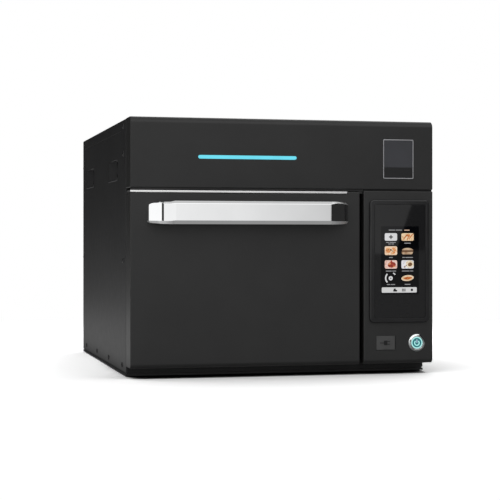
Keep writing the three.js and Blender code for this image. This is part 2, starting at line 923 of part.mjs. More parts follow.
function touchBezel() {
  const crown = bevelledFront();
  const collar = alongY(collarOutline(0), -fit - overrun, collarDepth);
  const glassFit = [glassRadius, glassRadius, glassRadius, glassRadius];
  const pocketDepth = glassRecess + glassThickness + fit - bezelProud;
  const pocket = alongY(
    roundedRectangle(glassLeft - fit, glassRight + fit, glassLow - fit, glassHigh + fit, glassFit),
    -bezelProud - overrun, pocketDepth,
  );
  const through = block(
    glassLeft + bezelLedge, glassRight - bezelLedge, -bezelProud, collarDepth + overrun,
    glassLow + bezelLedge, glassHigh - bezelLedge,
  );
  const relief = block(
    glassLeft, glassRight, pocketDepth + bezelLedgeDepth, collarDepth + overrun, glassLow, glassHigh,
  );
  return cut(joined([crown, collar]), [pocket, through, relief]);
}

// The bezel's sloping front: rings drawn in towards the front face
function bevelledFront() {
  const ring = (shrink, y) => {
    const r = bezelRadius - shrink;
    const shape = roundedRectangle(
      bezelLeft + shrink, bezelRight - shrink, bezelLow + shrink, bezelHigh - shrink, [r, r, r, r],
    );
    return shape.getPoints().map((p) => new THREE.Vector3(p.x, y, p.y));
  };
  return lofted([ring(0, -fit), ring(0, bezelBevel - bezelProud), ring(bezelBevel, -bezelProud)]);
}

function touchGlass() {
  const y0 = glassRecess - bezelProud;
  const radii = [glassRadius, glassRadius, glassRadius, glassRadius];
  return alongY(roundedRectangle(glassLeft, glassRight, glassLow, glassHigh, radii), y0, y0 + glassThickness);
}

function lcdModule() {
  const y0 = glassRecess + glassThickness + fit - bezelProud;
  const frame = block(lcdLeft, lcdRight, y0, y0 + lcdDepth, lcdLow, lcdHigh);
  const tail = block(
    lcdLeft + lcdDepth, lcdRight - lcdDepth, y0 + lcdDepth - boardThickness, y0 + lcdDepth, lcdLow - lcdDepth,
    lcdLow + lcdDepth,
  );
  return frame.add(tail);
}

function controlBoard() {
  const y0 = collarDepth + fit;
  const grow = controlBoardMargin;
  const board = block(glassLeft - grow, glassRight + grow, y0, y0 + boardThickness, glassLow, lcdHigh + grow);
  const chips = rowOf(3, chipDepth * 4, (glassLow + lcdHigh) / 2).map((z) => block(
    glassLeft + chipDepth, glassLeft + chipDepth * 4, y0, y0 + chipDepth, z - chipDepth, z + chipDepth,
  ));
  const socket = block(
    glassRight - chipDepth * 2, glassRight - chipDepth, y0, y0 + chipDepth * 2, glassLow + chipDepth,
    glassLow + chipDepth * 6,
  );
  return joined([board, ...chips, socket]);
}

function usbCover() {
  const centreY = usbCoverRecess + usbCoverThickness / 2;
  const centreZ = usbHigh - fit - usbBarrelRadius;
  const flap = block(
    usbLeft + fit, usbRight - fit, usbCoverRecess, usbCoverRecess + usbCoverThickness, usbLow + fit, centreZ,
  );
  const barrel = alongX(disc(centreY, centreZ, usbBarrelRadius, smallSides), usbLeft + fit, usbRight - fit);
  const pin = alongX(
    disc(centreY, centreZ, usbPinRadius, holeSides), usbLeft + fit - usbPinLength,
    usbRight - fit + usbPinLength,
  );
  return joined([flap, barrel, pin]);
}

function usbSocket() {
  const centre = (usbLeft + usbRight) / 2;
  const halfX = usbPortWidth / 2;
  const halfZ = usbPortHeight / 2;
  const y0 = usbPocket + fit;
  const y1 = usbPocket + usbSocketLength;
  const flangeY = usbPocket + fasciaWall + fit;
  const shell = block(centre - halfX, centre + halfX, y0, y1, usbPortZ - halfZ, usbPortZ + halfZ);
  const flange = block(
    centre - halfX - usbFlange, centre + halfX + usbFlange, flangeY, flangeY + usbFlange,
    usbPortZ - halfZ - usbFlange, usbPortZ + halfZ + usbFlange,
  );
  const hollow = block(
    centre - halfX + usbSocketWall, centre + halfX - usbSocketWall, y0 - overrun, y1 - usbSocketWall,
    usbPortZ - halfZ + usbSocketWall, usbPortZ + halfZ - usbSocketWall,
  );
  const tongue = block(
    centre - halfX + usbTongue, centre + halfX - usbTongue, y0 + usbSocketWall, y1 - usbSocketWall / 2,
    usbPortZ, usbPortZ + usbTongue,
  );
  return shell.add(flange).subtract(hollow).add(tongue);
}

// The power button's pieces are drawn about their own axis, with the panel's face at zero
function powerSwitchBody() {
  const end = buttonBarrelLength + buttonSwitchLength;
  const nutFront = fasciaWall + fit;
  const profile = [
    [buttonBore, -buttonRingProud], [buttonRing - edgeRadius, -buttonRingProud],
    [buttonRing, edgeRadius - buttonRingProud], [buttonRing, -fit], [buttonBarrel, -fit],
    [buttonBarrel, nutFront], [buttonNut, nutFront], [buttonNut, nutFront + buttonNutDepth],
    [buttonBarrel, nutFront + buttonNutDepth], [buttonBarrel, end], [0, end], [0, buttonBarrelLength],
    [buttonBore, buttonBarrelLength],
  ];
  return revolved(profile);
}

function powerButtonCap() {
  const rim = buttonBore - buttonCapGap;
  const front = -buttonCapProud;
  const back = front + buttonCapLength;
  const grooveFloor = front + lightRingDepth + fit;
  const dishRadius = lightRingInner - fit;
  const profile = [
    [0, front + buttonDish], [dishRadius / 2, front + buttonDish / 2], [dishRadius, front],
    [dishRadius, grooveFloor], [lightRingOuter + fit, grooveFloor], [lightRingOuter + fit, front],
    [rim, front + edgeRadius / 3], [rim, back], [0, back],
  ];
  return revolved(profile);
}

function buttonLightRing() {
  const front = -buttonCapProud;
  const back = front + lightRingDepth;
  return revolved([
    [lightRingInner, front], [lightRingOuter, front], [lightRingOuter, back], [lightRingInner, back],
  ]);
}

// Door

function hingePlaces() {
  return [left + hingeInset, doorRight - hingeInset];
}

function hookPlaces() {
  return [left + hookInset, doorRight - hookInset];
}

function hingeNotches(y0, y1) {
  return hingePlaces().map((x) => block(
    x - notchHalf, x + notchHalf, y0, y1, doorBottom - overrun, hingeZ + notchReach,
  ));
}

function doorOuterShell() {
  const shell = fascia(left, doorRight, doorBottom, doorTop, footRadius, edgeRadius, doorSheet);
  const trimEnd = left + trimLength;
  const rebateFloor = doorTop - trimHeight - fit;
  const roof = block(
    left + edgeRadius, trimEnd + doorSheet, edgeRadius, trimDepth + doorSheet, rebateFloor - doorSheet,
    doorTop - doorSheet / 2,
  );
  const rebate = block(
    left - overrun, trimEnd + fit, -overrun, trimDepth + fit, rebateFloor, doorTop + overrun,
  );
  const boltHoles = boltPlaces().map(([x, z]) => alongY(
    bore(x, z, boltRadius + fit, holeSides), -overrun, doorSheet + overrun,
  ));
  const notches = hingeNotches(hingeY - notchReach, fasciaDepth + overrun);
  return cut(shell.add(roof), [rebate, ...boltHoles, ...notches]);
}

function doorTrimStrip() {
  return block(left, left + trimLength, 0, trimDepth, doorTop - trimHeight, doorTop);
}

function doorInnerPanel() {
  const y1 = innerPanelBack;
  const y0 = y1 - doorSheet;
  const gap = doorSheet + fit;
  const plate = block(
    left + gap, doorRight - gap, y0, y1, doorBottom + gap, doorTop - gap - trimHeight - fit,
  );
  const radii = [bendRadius, bendRadius, bendRadius, bendRadius];
  const plug = alongY(
    roundedRectangle(plugLeft, plugRight, plugLow, plugHigh, radii), y0, y1 + plugDepth,
  );
  const hollow = block(
    plugLeft + doorSheet, plugRight - doorSheet, y0 - overrun, y1 + plugDepth - doorSheet,
    plugLow + doorSheet, plugHigh - doorSheet,
  );
  const hookHoles = hookPlaces().map((x) => block(
    x - hookThickness / 2 - fit, x + hookThickness / 2 + fit, y0 - overrun, y1 + overrun, hookLow - fit,
    hookHigh + fit,
  ));
  return cut(plate.add(plug), [hollow, ...hookHoles, ...hingeNotches(y0 - overrun, y1 + overrun)]);
}

// A comb of slots round the door plug that stops microwaves
function doorChoke() {
  const y0 = innerPanelBack + fit;
  const y1 = y0 + chokeThickness;
  const margin = fit + fit;
  const inner = rectangle(plugLeft - margin, plugRight + margin, plugLow - margin, plugHigh + margin);
  const reach = margin + chokeWidth;
  const outer = rectangle(plugLeft - reach, plugRight + reach, plugLow - reach, plugHigh + reach);
  const ring = alongY(outer, y0, y1).subtract(alongY(inner, y0 - overrun, y1 + overrun));
  const halfSlot = chokeSlotWidth / 2;
  const slots = [];
  const across = Math.floor((plugRight - plugLeft) / chokeSlotPitch);
  const cutY = [y0 - overrun, y1 + overrun];
  for (const x of rowOf(across, chokeSlotPitch, (plugLeft + plugRight) / 2)) {
    for (const z of [plugLow - reach, plugHigh + reach - chokeSlotLength]) {
      slots.push(block(x - halfSlot, x + halfSlot, ...cutY, z - overrun, z + chokeSlotLength));
    }
  }
  const up = Math.floor((plugHigh - plugLow) / chokeSlotPitch);
  for (const z of rowOf(up, chokeSlotPitch, (plugLow + plugHigh) / 2)) {
    for (const x of [plugLeft - reach, plugRight + reach - chokeSlotLength]) {
      slots.push(block(x - overrun, x + chokeSlotLength, ...cutY, z - halfSlot, z + halfSlot));
    }
  }
  return cut(ring, slots);
}

function doorInsulation() {
  const gap = doorBlanketMargin;
  const front = doorSheet + boltHead + boltHead;
  const back = innerPanelBack + plugDepth - doorSheet - fit;
  return block(plugLeft + gap, plugRight - gap, front, back, plugLow + gap, plugHigh - gap);
}

// The clevis on the door that turns on the hinge pin, drawn about x = 0
function hingeArm() {
  const clear = bracketPlate / 2 + earGap;
  const outerX = clear + earPlate;
  const back = innerPanelBack - doorSheet - fit;
  const eye = arcPoints(hingeY, hingeZ, hingeEyeRadius, 180, 360, arcSteps * 2);
  const profile = outline([...eye, [back, armFootLow], [back, armTop], [hingeY - hingeEyeRadius, armTop]]);
  const web = block(
    -outerX, outerX, hingeY - hingeEyeRadius, hingeY - hingeEyeRadius + earPlate,
    hingeZ + notchReach + overrun, armTop,
  );
  const foot = block(-armFootHalf, armFootHalf, back - earPlate, back, armFootLow, armTop);
  const ears = [alongX(profile, -outerX, -clear), alongX(profile, clear, outerX)];
  const eyeBore = alongX(
    bore(hingeY, hingeZ, hingePinRadius + fit, smallSides), -outerX - overrun, outerX + overrun,
  );
  return joined([...ears, web, foot]).subtract(eyeBore);
}

function hingePin() {
  const half = bracketPlate / 2 + earGap + earPlate + fit;
  const shank = alongX(disc(hingeY, hingeZ, hingePinRadius, holeSides), -half - pinHead, half + pinHead);
  const head = alongX(disc(hingeY, hingeZ, pinHeadRadius, holeSides), half, half + pinHead);
  const clip = alongX(disc(hingeY, hingeZ, pinHeadRadius, holeSides), -half - pinHead, -half);
  return joined([shank, head, clip]);
}

function hingeBracket() {
  const footFront = frameBack + fit;
  const footBack = footFront + bracketPlate;
  const half = bracketPlate / 2;
  const eye = arcPoints(hingeY, hingeZ, hingeEyeRadius, 90, 270, arcSteps * 2);
  const arm = outline([
    ...eye, [footBack, hingeZ - hingeEyeRadius], [footBack, hingeZ + hingeEyeRadius],
  ]);
  const plate = alongX(arm, -half, half);
  const footLow = hingeZ - hingeEyeRadius;
  const base = block(
    -bracketFootHalf, bracketFootHalf, footFront, footBack, footLow, footLow + bracketFootHeight,
  );
  const eyeBore = alongX(
    bore(hingeY, hingeZ, hingePinRadius + fit, smallSides), -half - overrun, half + overrun,
  );
  return plate.add(base).subtract(eyeBore);
}

function latchHook() {
  const half = hookThickness / 2;
  const panelFront = innerPanelBack - doorSheet - fit;
  const tip = fasciaDepth + hookReach;
  const profile = outline([
    [panelFront - hookBase, hookLow - hookBase], [panelFront, hookLow - hookBase], [panelFront, hookLow],
    [tip - hookNoseLength, hookLow], [tip - hookNoseLength, hookLow - hookNose / 2], [tip, hookLow],
    [tip, hookHigh - hookNose], [tip - hookNoseLength, hookHigh], [panelFront, hookHigh],
    [panelFront, hookHigh + hookBase / 2], [panelFront - hookBase, hookHigh + hookBase / 2],
  ]);
  const foot = block(
    -hookBase, hookBase, panelFront - hookThickness, panelFront, hookLow - hookBase, hookHigh + hookBase / 2,
  );
  return alongX(profile, -half, half).add(foot);
}

function interlockSwitch() {
  const y0 = frameBack + fit;
  const body = block(-switchHalf, switchHalf, y0, y0 + switchDepth, switchLow, switchLow + switchHeight);
  const leverY = y0 + switchDepth / 2;
  const lever = block(
    -leverHalf, leverHalf, leverY, leverY + leverDepth, switchLow - leverDrop, switchLow + overrun,
  );
  return body.add(lever);
}

function boltPlaces() {
  const reach = handleFlat / 2 + handleArc - handleThickness / 2;
  const z = (handleTop - handleTipDrop + handleBottom + handleTipRise) / 2;
  return [[handleCentre - reach, z], [handleCentre + reach, z]];
}

// One cross-section of the bar: depth is measured in from its outer face; the chamfers narrow in the bends
function handleSection(turn) {
  const drop = 1 - Math.cos(turn);
  const top = handleTop - handleTipDrop * drop;
  const bottom = handleBottom + handleTipRise * drop;
  const bent = turn > 0;
  const faceTop = top - (bent ? handleTipTopChamfer : handleTopChamfer);
  const lowChamfer = bent ? handleTipBottomChamfer : handleBottomChamfer;
  const faceBottom = bottom + lowChamfer - handleTipTaper * drop;
  const chamfer = handleChamferDepth - handleTipFlare * drop;
  return [
    [0, faceTop], [0, faceBottom], [chamfer, bottom], [handleThickness - handleBackRound, bottom],
    [handleThickness, bottom + handleBackRound], [handleThickness, top - handleBackRound],
    [handleThickness - handleBackRound, top], [chamfer, top],
  ];
}

function doorHandle() {
  const ring = (side, turn) => {
    const bendX = handleCentre + (side * handleFlat) / 2;
    const outX = side * Math.sin(turn);
    const outY = -Math.cos(turn);
    return handleSection(turn).map(([inward, z]) => {
      const radius = handleArc - inward;
      return new THREE.Vector3(bendX + outX * radius, -fit + outY * radius, z);
    });
  };
  const quarter = Math.PI / 2;
  const rings = [];
  for (let i = handleArcSteps; i >= 0; i -= 1) {
    rings.push(ring(-1, (quarter * i) / handleArcSteps));
  }
  for (let i = 0; i <= handleArcSteps; i += 1) {
    rings.push(ring(1, (quarter * i) / handleArcSteps));
  }
  const bores = boltPlaces().map(([x, z]) => alongY(
    bore(x, z, boltRadius + fit, holeSides), -boltGrip - fit - fit, overrun,
  ));
  return cut(lofted(rings), bores);
}

// Drawn about its own axis, with the inside face of the door skin at zero
function handleBolt() {
  const tip = -doorSheet - fit - boltGrip;
  const profile = [
    [0, tip], [boltRadius, tip], [boltRadius, fit], [boltHeadRadius, fit], [boltHeadRadius, fit + boltHead],
    [0, fit + boltHead],
  ];
  return revolved(profile, holeSides);
}

// Cooking cavity

function ledges(level) {
  const sides = [
    [cavityLeft - linerSheet / 2, cavityLeft + ledgeReach],
    [cavityRight - ledgeReach, cavityRight + linerSheet / 2],
  ];
  return sides.map(([x0, x1]) => block(x0, x1, ledgeStart, ledgeEnd, level - ledgeHeight, level));
}

function cavityLiner() {
  const x0 = cavityLeft - linerSheet;
  const x1 = cavityRight + linerSheet;
  const z0 = cavityLow - linerSheet;
  const z1 = cavityHigh + linerSheet;
  const radii = [bendRadius, bendRadius, bendRadius, bendRadius];
  const body = alongY(roundedRectangle(x0, x1, z0, z1, radii), linerFront, cavityBack);
  const flange = block(
    x0 - linerFlange, x1 + linerFlange, linerFront, linerFront + linerSheet, z0 - linerFlange,
    z1 + linerFlange,
  );
  const hollow = block(
    cavityLeft, cavityRight, linerFront - overrun, cavityBack - linerSheet, cavityLow, cavityHigh,
  );
  const backCut = [cavityBack - linerSheet - overrun, cavityBack + overrun];
  const holes = [];
  for (const x of rowOf(grilleColumns, grillePitch, cavityCentre)) {
    for (const z of rowOf(grilleRows, grillePitch, cavityMiddle)) {
      holes.push(alongY(disc(x, z, grilleHoleRadius, tubeSides), ...backCut));
    }
  }
  const ducts = [cavityLow, cavityHigh - ductSlotHeight].map((z) => block(
    cavityCentre - ductSlotWidth / 2, cavityCentre + ductSlotWidth / 2, ...backCut, z, z + ductSlotHeight,
  ));
  const port = block(
    cavityRight - overrun, cavityRight + linerSheet + overrun, portCentreY - portWidth / 2,
    portCentreY + portWidth / 2, portCentreZ - portHeight / 2, portCentreZ + portHeight / 2,
  );
  const levels = [lowerJetLevel - fit, rackLevel, upperRackLevel, upperJetLevel - fit];
  const ribs = levels.flatMap((level) => ledges(level));
  return joined([cut(body.add(flange), [hollow, ...holes, ...ducts]), ...ribs]).subtract(port);
}

function jetPlate(level, lipLow, lipHigh) {
  const gap = fit + fit;
  const x0 = cavityLeft + gap;
  const x1 = cavityRight - gap;
  const plate = block(x0, x1, jetPlateFront, cavityBack - linerSheet - gap, level, level + jetPlateSheet);
  const lip = block(x0, x1, jetPlateFront, jetPlateFront + jetPlateSheet, lipLow, lipHigh);
  return plate.add(lip);
}

function nozzlePlaces(columns, rows) {
  const centreY = (jetPlateFront + cavityBack) / 2;
  const pitchX = (cavityWidth - nozzleSideInset * 2) / (columns - 1);
  const pitchY = (cavityBack - jetPlateFront - nozzleEndInset * 2) / (rows - 1);
  const places = [];
  for (const x of rowOf(columns, pitchX, cavityCentre)) {
    for (const y of rowOf(rows, pitchY, centreY)) {
      places.push([x, y]);
    }
  }
  return places;
}

// The upper plate blows down through short drawn nozzles
function upperJetPlate() {
  const plate = jetPlate(upperJetLevel, upperJetLevel, cavityHigh - fit - fit);
  const places = nozzlePlaces(nozzleColumns, nozzleRows);
  const mouth = upperJetLevel - nozzleLength;
  const top = upperJetLevel + jetPlateSheet;
  const collars = places.map(([x, y]) => alongZ(
    disc(x, y, nozzleRadius + nozzleWall, holeSides), mouth, top - jetPlateSheet / 2,
  ));
  const bores = places.map(([x, y]) => alongZ(
    disc(x, y, nozzleRadius, holeSides), mouth - overrun, top + overrun,
  ));
  return cut(joined([plate, ...collars]), bores);
}

function lowerJetPlate() {
  const plate = jetPlate(lowerJetLevel, cavityLow + fit + fit, lowerJetLevel + jetPlateSheet);
  const bores = nozzlePlaces(jetHoleColumns, jetHoleRows).map(([x, y]) => alongZ(
    disc(x, y, nozzleRadius, holeSides), lowerJetLevel - overrun, lowerJetLevel + jetPlateSheet + overrun,
  ));
  return cut(plate, bores);
}

function wireRack() {
  const level = rackLevel + fit + rackRodRadius;
  const x0 = cavityLeft + rackSideGap;
  const x1 = cavityRight - rackSideGap;
  const rail = (x) => alongY(disc(x, level, rackRodRadius, tubeSides), rackFront, rackBack);
  const ends = (y) => alongX(disc(y, level, rackRodRadius, tubeSides), x0, x1);
  const rods = [
    rail(x0 + rackRodRadius), rail(x1 - rackRodRadius), ends(rackFront + rackRodRadius),
    ends(rackBack - rackRodRadius),
  ];
  const wireLevel = level + rackRodRadius - rackWireRadius / 2;
  const span = rackBack - rackFront - 2 * rackWirePitch;
  const count = Math.floor(span / rackWirePitch) + 1;
  const wires = rowOf(count, rackWirePitch, (rackFront + rackBack) / 2).map((y) => alongX(
    disc(y, wireLevel, rackWireRadius, tubeSides), x0 + rackRodRadius / 2, x1 - rackRodRadius / 2,
  ));
  return joined([...rods, ...wires]);
}

function cavityInsulation() {
  const gap = linerSheet + fit;
  const x0 = cavityLeft - gap;
  const x1 = cavityRight + gap;
  const z0 = cavityLow - gap;
  const z1 = cavityHigh + gap;
  const back = housingBack + fit + fit;
  const body = block(x0 - blanket, x1 + blanket, blanketFront, back + blanket, z0 - blanket, z1 + blanket);
  const hollow = block(x0, x1, blanketFront - overrun, back, z0, z1);
  const hole = alongY(
    bore(cavityCentre, cavityMiddle, blanketHoleRadius), back - overrun, back + blanket + overrun,
  );
  const guideY = guideWidth / 2 + fit;
  const guideZ = guideHeight / 2 + fit;
  const guideGap = block(
    cavityRight, x1 + blanket + overrun, portCentreY - guideY, portCentreY + guideY, portCentreZ - guideZ,
    portCentreZ + guideZ,
  );
  const legHoles = heaterLegs().map(([x, z]) => alongY(
    bore(x, z, heaterTube + looseFit, holeSides), back - overrun, back + blanket + overrun,
  ));
  return cut(body, [hollow, hole, guideGap, ...legHoles]);
}

// Hot air blower, with the rotor drawn about its own axis

function heaterLegs() {
  return [-1, 1].map((side) => [cavityCentre + side * heaterRadius, cavityMiddle]);
}

function blowerHousing() {
  const halfX = ductSlotWidth / 2 + linerSheet + overrun;
  const front = cavityBack + fit;
  const z0 = cavityLow;
  const z1 = cavityHigh;
  const body = block(cavityCentre - halfX, cavityCentre + halfX, front, housingBack, z0, z1);
  const hollow = block(
    cavityCentre - halfX + linerSheet, cavityCentre + halfX - linerSheet, front - overrun,
    housingBack - linerSheet, z0 + linerSheet, z1 - linerSheet,
  );
  const shaftHole = alongY(
    bore(cavityCentre, cavityMiddle, shaftRadius + looseFit), housingBack - linerSheet - overrun,
    housingBack + overrun,
  );
  const legHoles = heaterLegs().map(([x, z]) => alongY(
    bore(x, z, heaterTube + fit, holeSides), housingBack - linerSheet - overrun, housingBack + overrun,
  ));
  return cut(body, [hollow, shaftHole, ...legHoles]).add(motorBracket());
}

// One blade: a strip of constant thickness that curves back from the inlet to the rim
function bladeOutline() {
  const steps = arcSteps;
  const inner = [];
  const outer = [];
  for (let i = 0; i <= steps; i += 1) {
    const share = i / steps;
    const radius = bladeInnerRadius + (blowerRadius - overrun - bladeInnerRadius) * share;
    const angle = -THREE.MathUtils.degToRad(bladeSweep) * share;
    const half = bladeThickness / 2 / radius;
    inner.push([radius * Math.cos(angle - half), radius * Math.sin(angle - half)]);
    outer.push([radius * Math.cos(angle + half), radius * Math.sin(angle + half)]);
  }
  return outline([...inner, ...outer.reverse()]);
}

function blowerWheel() {
  const back = blowerDepth;
  const plateFront = back - blowerPlate;
  const hub = revolved([
    [shaftRadius + fit, back - hubDepth], [hubRadius, back - hubDepth], [hubRadius, plateFront],
    [blowerRadius, plateFront], [blowerRadius, back], [shaftRadius + fit, back],
  ]);
  const shroud = revolved([
    [blowerInletRadius, 0], [blowerRadius, blowerPlate], [blowerRadius, blowerPlate * 2],
    [blowerInletRadius, blowerPlate],
  ]);
  const blades = [];
  for (let i = 0; i < bladeCount; i += 1) {
    const geometry = extruded(bladeOutline(), plateFront);
    geometry.applyMatrix4(new THREE.Matrix4().makeBasis(unitX, unitZ, backward));
    geometry.translate(0, plateFront + blowerPlate / 2, 0);
    geometry.rotateY((2 * Math.PI * i) / bladeCount);
    blades.push(solidOf(geometry));
  }
  const bladeRow = blades.reduce((whole, blade) => whole.add(blade));
  const trimmed = bladeRow.subtract(frontTrim());
  return joined([hub, shroud, trimmed]);
}

// What lies in front of the shroud, which the blades may not reach
function frontTrim() {
  const middle = blowerPlate / 2;
  return revolved([
    [bladeInnerRadius - overrun, -overrun], [blowerRadius + overrun, -overrun],
    [blowerRadius + overrun, blowerPlate + middle], [blowerInletRadius, middle],
    [bladeInnerRadius - overrun, middle],
  ]);
}

function blowerShaft() {
  const front = blowerDepth - hubDepth - fit;
  const end = motorFront - blowerFront + motorBossLength;
  const tip = front - shaftNutHeight;
  return revolved([
    [0, tip], [shaftNutRadius, tip], [shaftNutRadius, front], [shaftRadius, front], [shaftRadius, end],
    [0, end],
  ], smallSides);
}

// Welded to the back of the housing: a plate on four posts that pass through the blanket
function motorBracket() {
  const back = motorFront - fit;
  const front = back - sheet;
  const plate = block(
    cavityCentre - bracketHalf, cavityCentre + bracketHalf, front, back, cavityMiddle - bracketHalf,
    cavityMiddle + bracketHalf,
  );
  const reach = bracketHalf - bracketPostInset;
  const posts = [];
  for (const x of [cavityCentre - reach, cavityCentre + reach]) {
    for (const z of [cavityMiddle - reach, cavityMiddle + reach]) {
      posts.push(alongY(disc(x, z, bracketPostRadius, holeSides), housingBack - linerSheet / 2, back));
    }
  }
  const hole = alongY(
    bore(cavityCentre, cavityMiddle, shaftRadius + looseFit), front - overrun, back + overrun,
  );
  return joined([plate, ...posts]).subtract(hole);
}

// Drawn about its own axis, with its front face at zero
function blowerMotor() {
  const bell = motorLength - motorBevel * 2;
  const shaftEnd = motorBossLength + looseFit;
  const body = revolved([
    [shaftRadius + fit, 0], [motorRadius - motorBevel, 0], [motorRadius, motorBevel], [motorRadius, bell],
    [motorRadius - motorBevel * 2, motorLength], [motorBossRadius, motorLength],
    [motorBossRadius, motorLength + motorBossLength], [0, motorLength + motorBossLength], [0, shaftEnd],
    [shaftRadius + fit, shaftEnd],
  ], motorSides);
  const ribs = rowOf(2, motorLength / 3, motorLength / 2).map((y) => revolved([
    [motorRadius - fit, y], [motorRadius + motorRib, y], [motorRadius + motorRib, y + motorRib],
    [motorRadius - fit, y + motorRib],
  ], motorSides));
  return joined([body, ...ribs]);
}

class HeaterPath extends THREE.Curve {
  getPoint(share, target = new THREE.Vector3()) {
    const angle = (2 * heaterTurns - 1) * Math.PI * share;
    const y = heaterPitch * heaterTurns * share;
    return target.set(-heaterRadius * Math.cos(angle), y, heaterRadius * Math.sin(angle));
  }
}

// A tubular element wound round the blower wheel, with two straight legs through the housing
function airHeaterCoil() {
  const start = blowerFront + blowerDepth / 4;
  const ring = outline(arcPoints(0, 0, heaterTube, 0, 360 - 360 / tubeSides, tubeSides - 1));
  const turns = 2 * heaterTurns - 1;
  const coil = new THREE.ExtrudeGeometry(ring, {
    steps: coilSteps * turns, extrudePath: new HeaterPath(), bevelEnabled: false,
  });
  coil.translate(cavityCentre, start, cavityMiddle);
  const [leftLeg, rightLeg] = heaterLegs();
  const legEnd = housingBack + heaterLeg;
  const legs = [
    alongY(disc(...leftLeg, heaterTube, holeSides), start - heaterTube, legEnd),
    alongY(disc(...rightLeg, heaterTube, holeSides), start + heaterPitch * heaterTurns - heaterTube, legEnd),
  ];
  return joined([solidOf(coil), ...legs]);
}

function catalyst() {
  const y0 = cavityBack + fit;
  const y1 = y0 + catalystDepth;
  const body = block(
    cavityCentre - catalystHalfX, cavityCentre + catalystHalfX, y0, y1, cavityMiddle - catalystHalfZ,
    cavityMiddle + catalystHalfZ,
  );
  const pitch = catalystCell + catalystWall;
  const columns = Math.floor((2 * catalystHalfX - catalystWall) / pitch);
  const rows = Math.floor((2 * catalystHalfZ - catalystWall) / pitch);
  const half = catalystCell / 2;
  const cells = [];
  for (const x of rowOf(columns, pitch, cavityCentre)) {
    for (const z of rowOf(rows, pitch, cavityMiddle)) {
      cells.push(block(x - half, x + half, y0 - overrun, y1 + overrun, z - half, z + half));
    }
  }
  return cut(body, cells);
}

// Microwave parts

function guideStart() {
  return cavityRight + linerSheet + fit;
}

function waveguide() {
  const x0 = guideStart();
  const x1 = x0 + guideLength;
  const y0 = portCentreY - guideWidth / 2;
  const z0 = portCentreZ - guideHeight / 2;
  const body = block(x0, x1, y0, y0 + guideWidth, z0, z0 + guideHeight);
  const hollow = block(
    x0 - overrun, x1 - guideWall, y0 + guideWall, y0 + guideWidth - guideWall, z0 + guideWall,
    z0 + guideHeight - guideWall,
  );
  const hole = alongX(
    bore(portCentreY, portCentreZ, antennaRadius + looseFit), x1 - guideWall - overrun, x1 + overrun,
  );
  return cut(body, [hollow, hole]);
}

function magnetron() {
  const x0 = guideStart() + guideLength + fit;
  const x1 = x0 + magnetronWidth;
  const y0 = portCentreY - magnetronDepth / 2;
  const y1 = y0 + magnetronDepth;
  const z0 = portCentreZ - magnetronHeight / 2;
  const z1 = z0 + magnetronHeight;
  const yoke = block(x0, x1, y0, y1, z0, z1);
  const wall = sheet + sheet;
  const window = block(x0 + wall, x1 - wall, y0 - overrun, y1 + overrun, z0 + wall, z1 - wall);
  const core = alongX(disc(portCentreY, portCentreZ, magnetronCore), x0 + sheet, x1 - sheet);
  const centreX = (x0 + x1) / 2;
  const fins = rowOf(finCount, finPitch, centreX).map((x) => block(
    x - finThickness / 2, x + finThickness / 2, y0 + overrun, y1 - overrun, z0 + sheet, z1 - sheet,
  ));
  const antenna = alongX(disc(portCentreY, portCentreZ, antennaRadius), x0 - antennaLength, x0 + sheet);
  const step = filterBox / 2;
  const filter = block(x1 - sheet, x1 + filterBox, y0 + step, y1 - step, z0 + step, z1 - step);
  return joined([yoke.subtract(window), core, ...fins, antenna, filter]);
}

function hvTransformer() {
  const x1 = transformerX + transformerWidth;
  const y1 = transformerY + transformerDepth;
  const low = trayFloor + fit;
  const foot = block(
    transformerX - coilReach / 2, x1 + coilReach / 4, transformerY, y1, low, low + transformerFoot,
  );
  const core = block(transformerX, x1, transformerY, y1, low, low + transformerHeight);
  const windingInset = transformerWidth / 6;
  const winding = block(
    transformerX + windingInset, x1 - windingInset, transformerY - coilReach, y1 + coilReach,
    low + transformerFoot + windingInset, low + transformerHeight - windingInset,
  );
  return joined([foot, core, winding]);
}

function hvCapacitor() {
  const half = capacitorSpan / 2;
  const r = capacitorRadius;
  const low = trayFloor + fit;
  const can = roundedRectangle(
    capacitorX - half - r, capacitorX + half + r, capacitorY - r, capacitorY + r, [r, r, r, r],
  );
  const top = low + capacitorHeight;
  const pins = [capacitorX - half, capacitorX + half].map((x) => alongZ(
    disc(x, capacitorY, terminalRadius, tubeSides), top - terminalRadius, top + terminalHeight,
  ));
  return joined([alongZ(can, low, top), ...pins]);
}

// Cooling fan, drawn about its own axis with its rear face at zero

function coolingFanFrame() {
  const half = fanSide / 2;
  const body = block(-half, half, -fanDepth, 0, -half, half);
  const throat = alongY(bore(0, 0, fanBore, roundSides), -fanDepth - overrun, overrun);
  const hub = alongY(disc(0, 0, fanHubRadius, smallSides), -fanHubDepth, 0);
  const pin = alongY(disc(0, 0, fanPinRadius, holeSides), fit + fanHubDepth - fanDepth, 0);
  const strut = (angle) => {
    const geometry = new THREE.BoxGeometry(fanBore + overrun, fanStrutDepth, fanStrutHeight);
    geometry.translate(fanBore / 2, -fanStrutDepth / 2, 0);
    return solidOf(geometry.rotateY(angle));
  };
  const struts = [0, 1, 2].map((i) => strut((2 * Math.PI * i) / 3));
  return joined([body.subtract(throat), hub, pin, ...struts]);
}

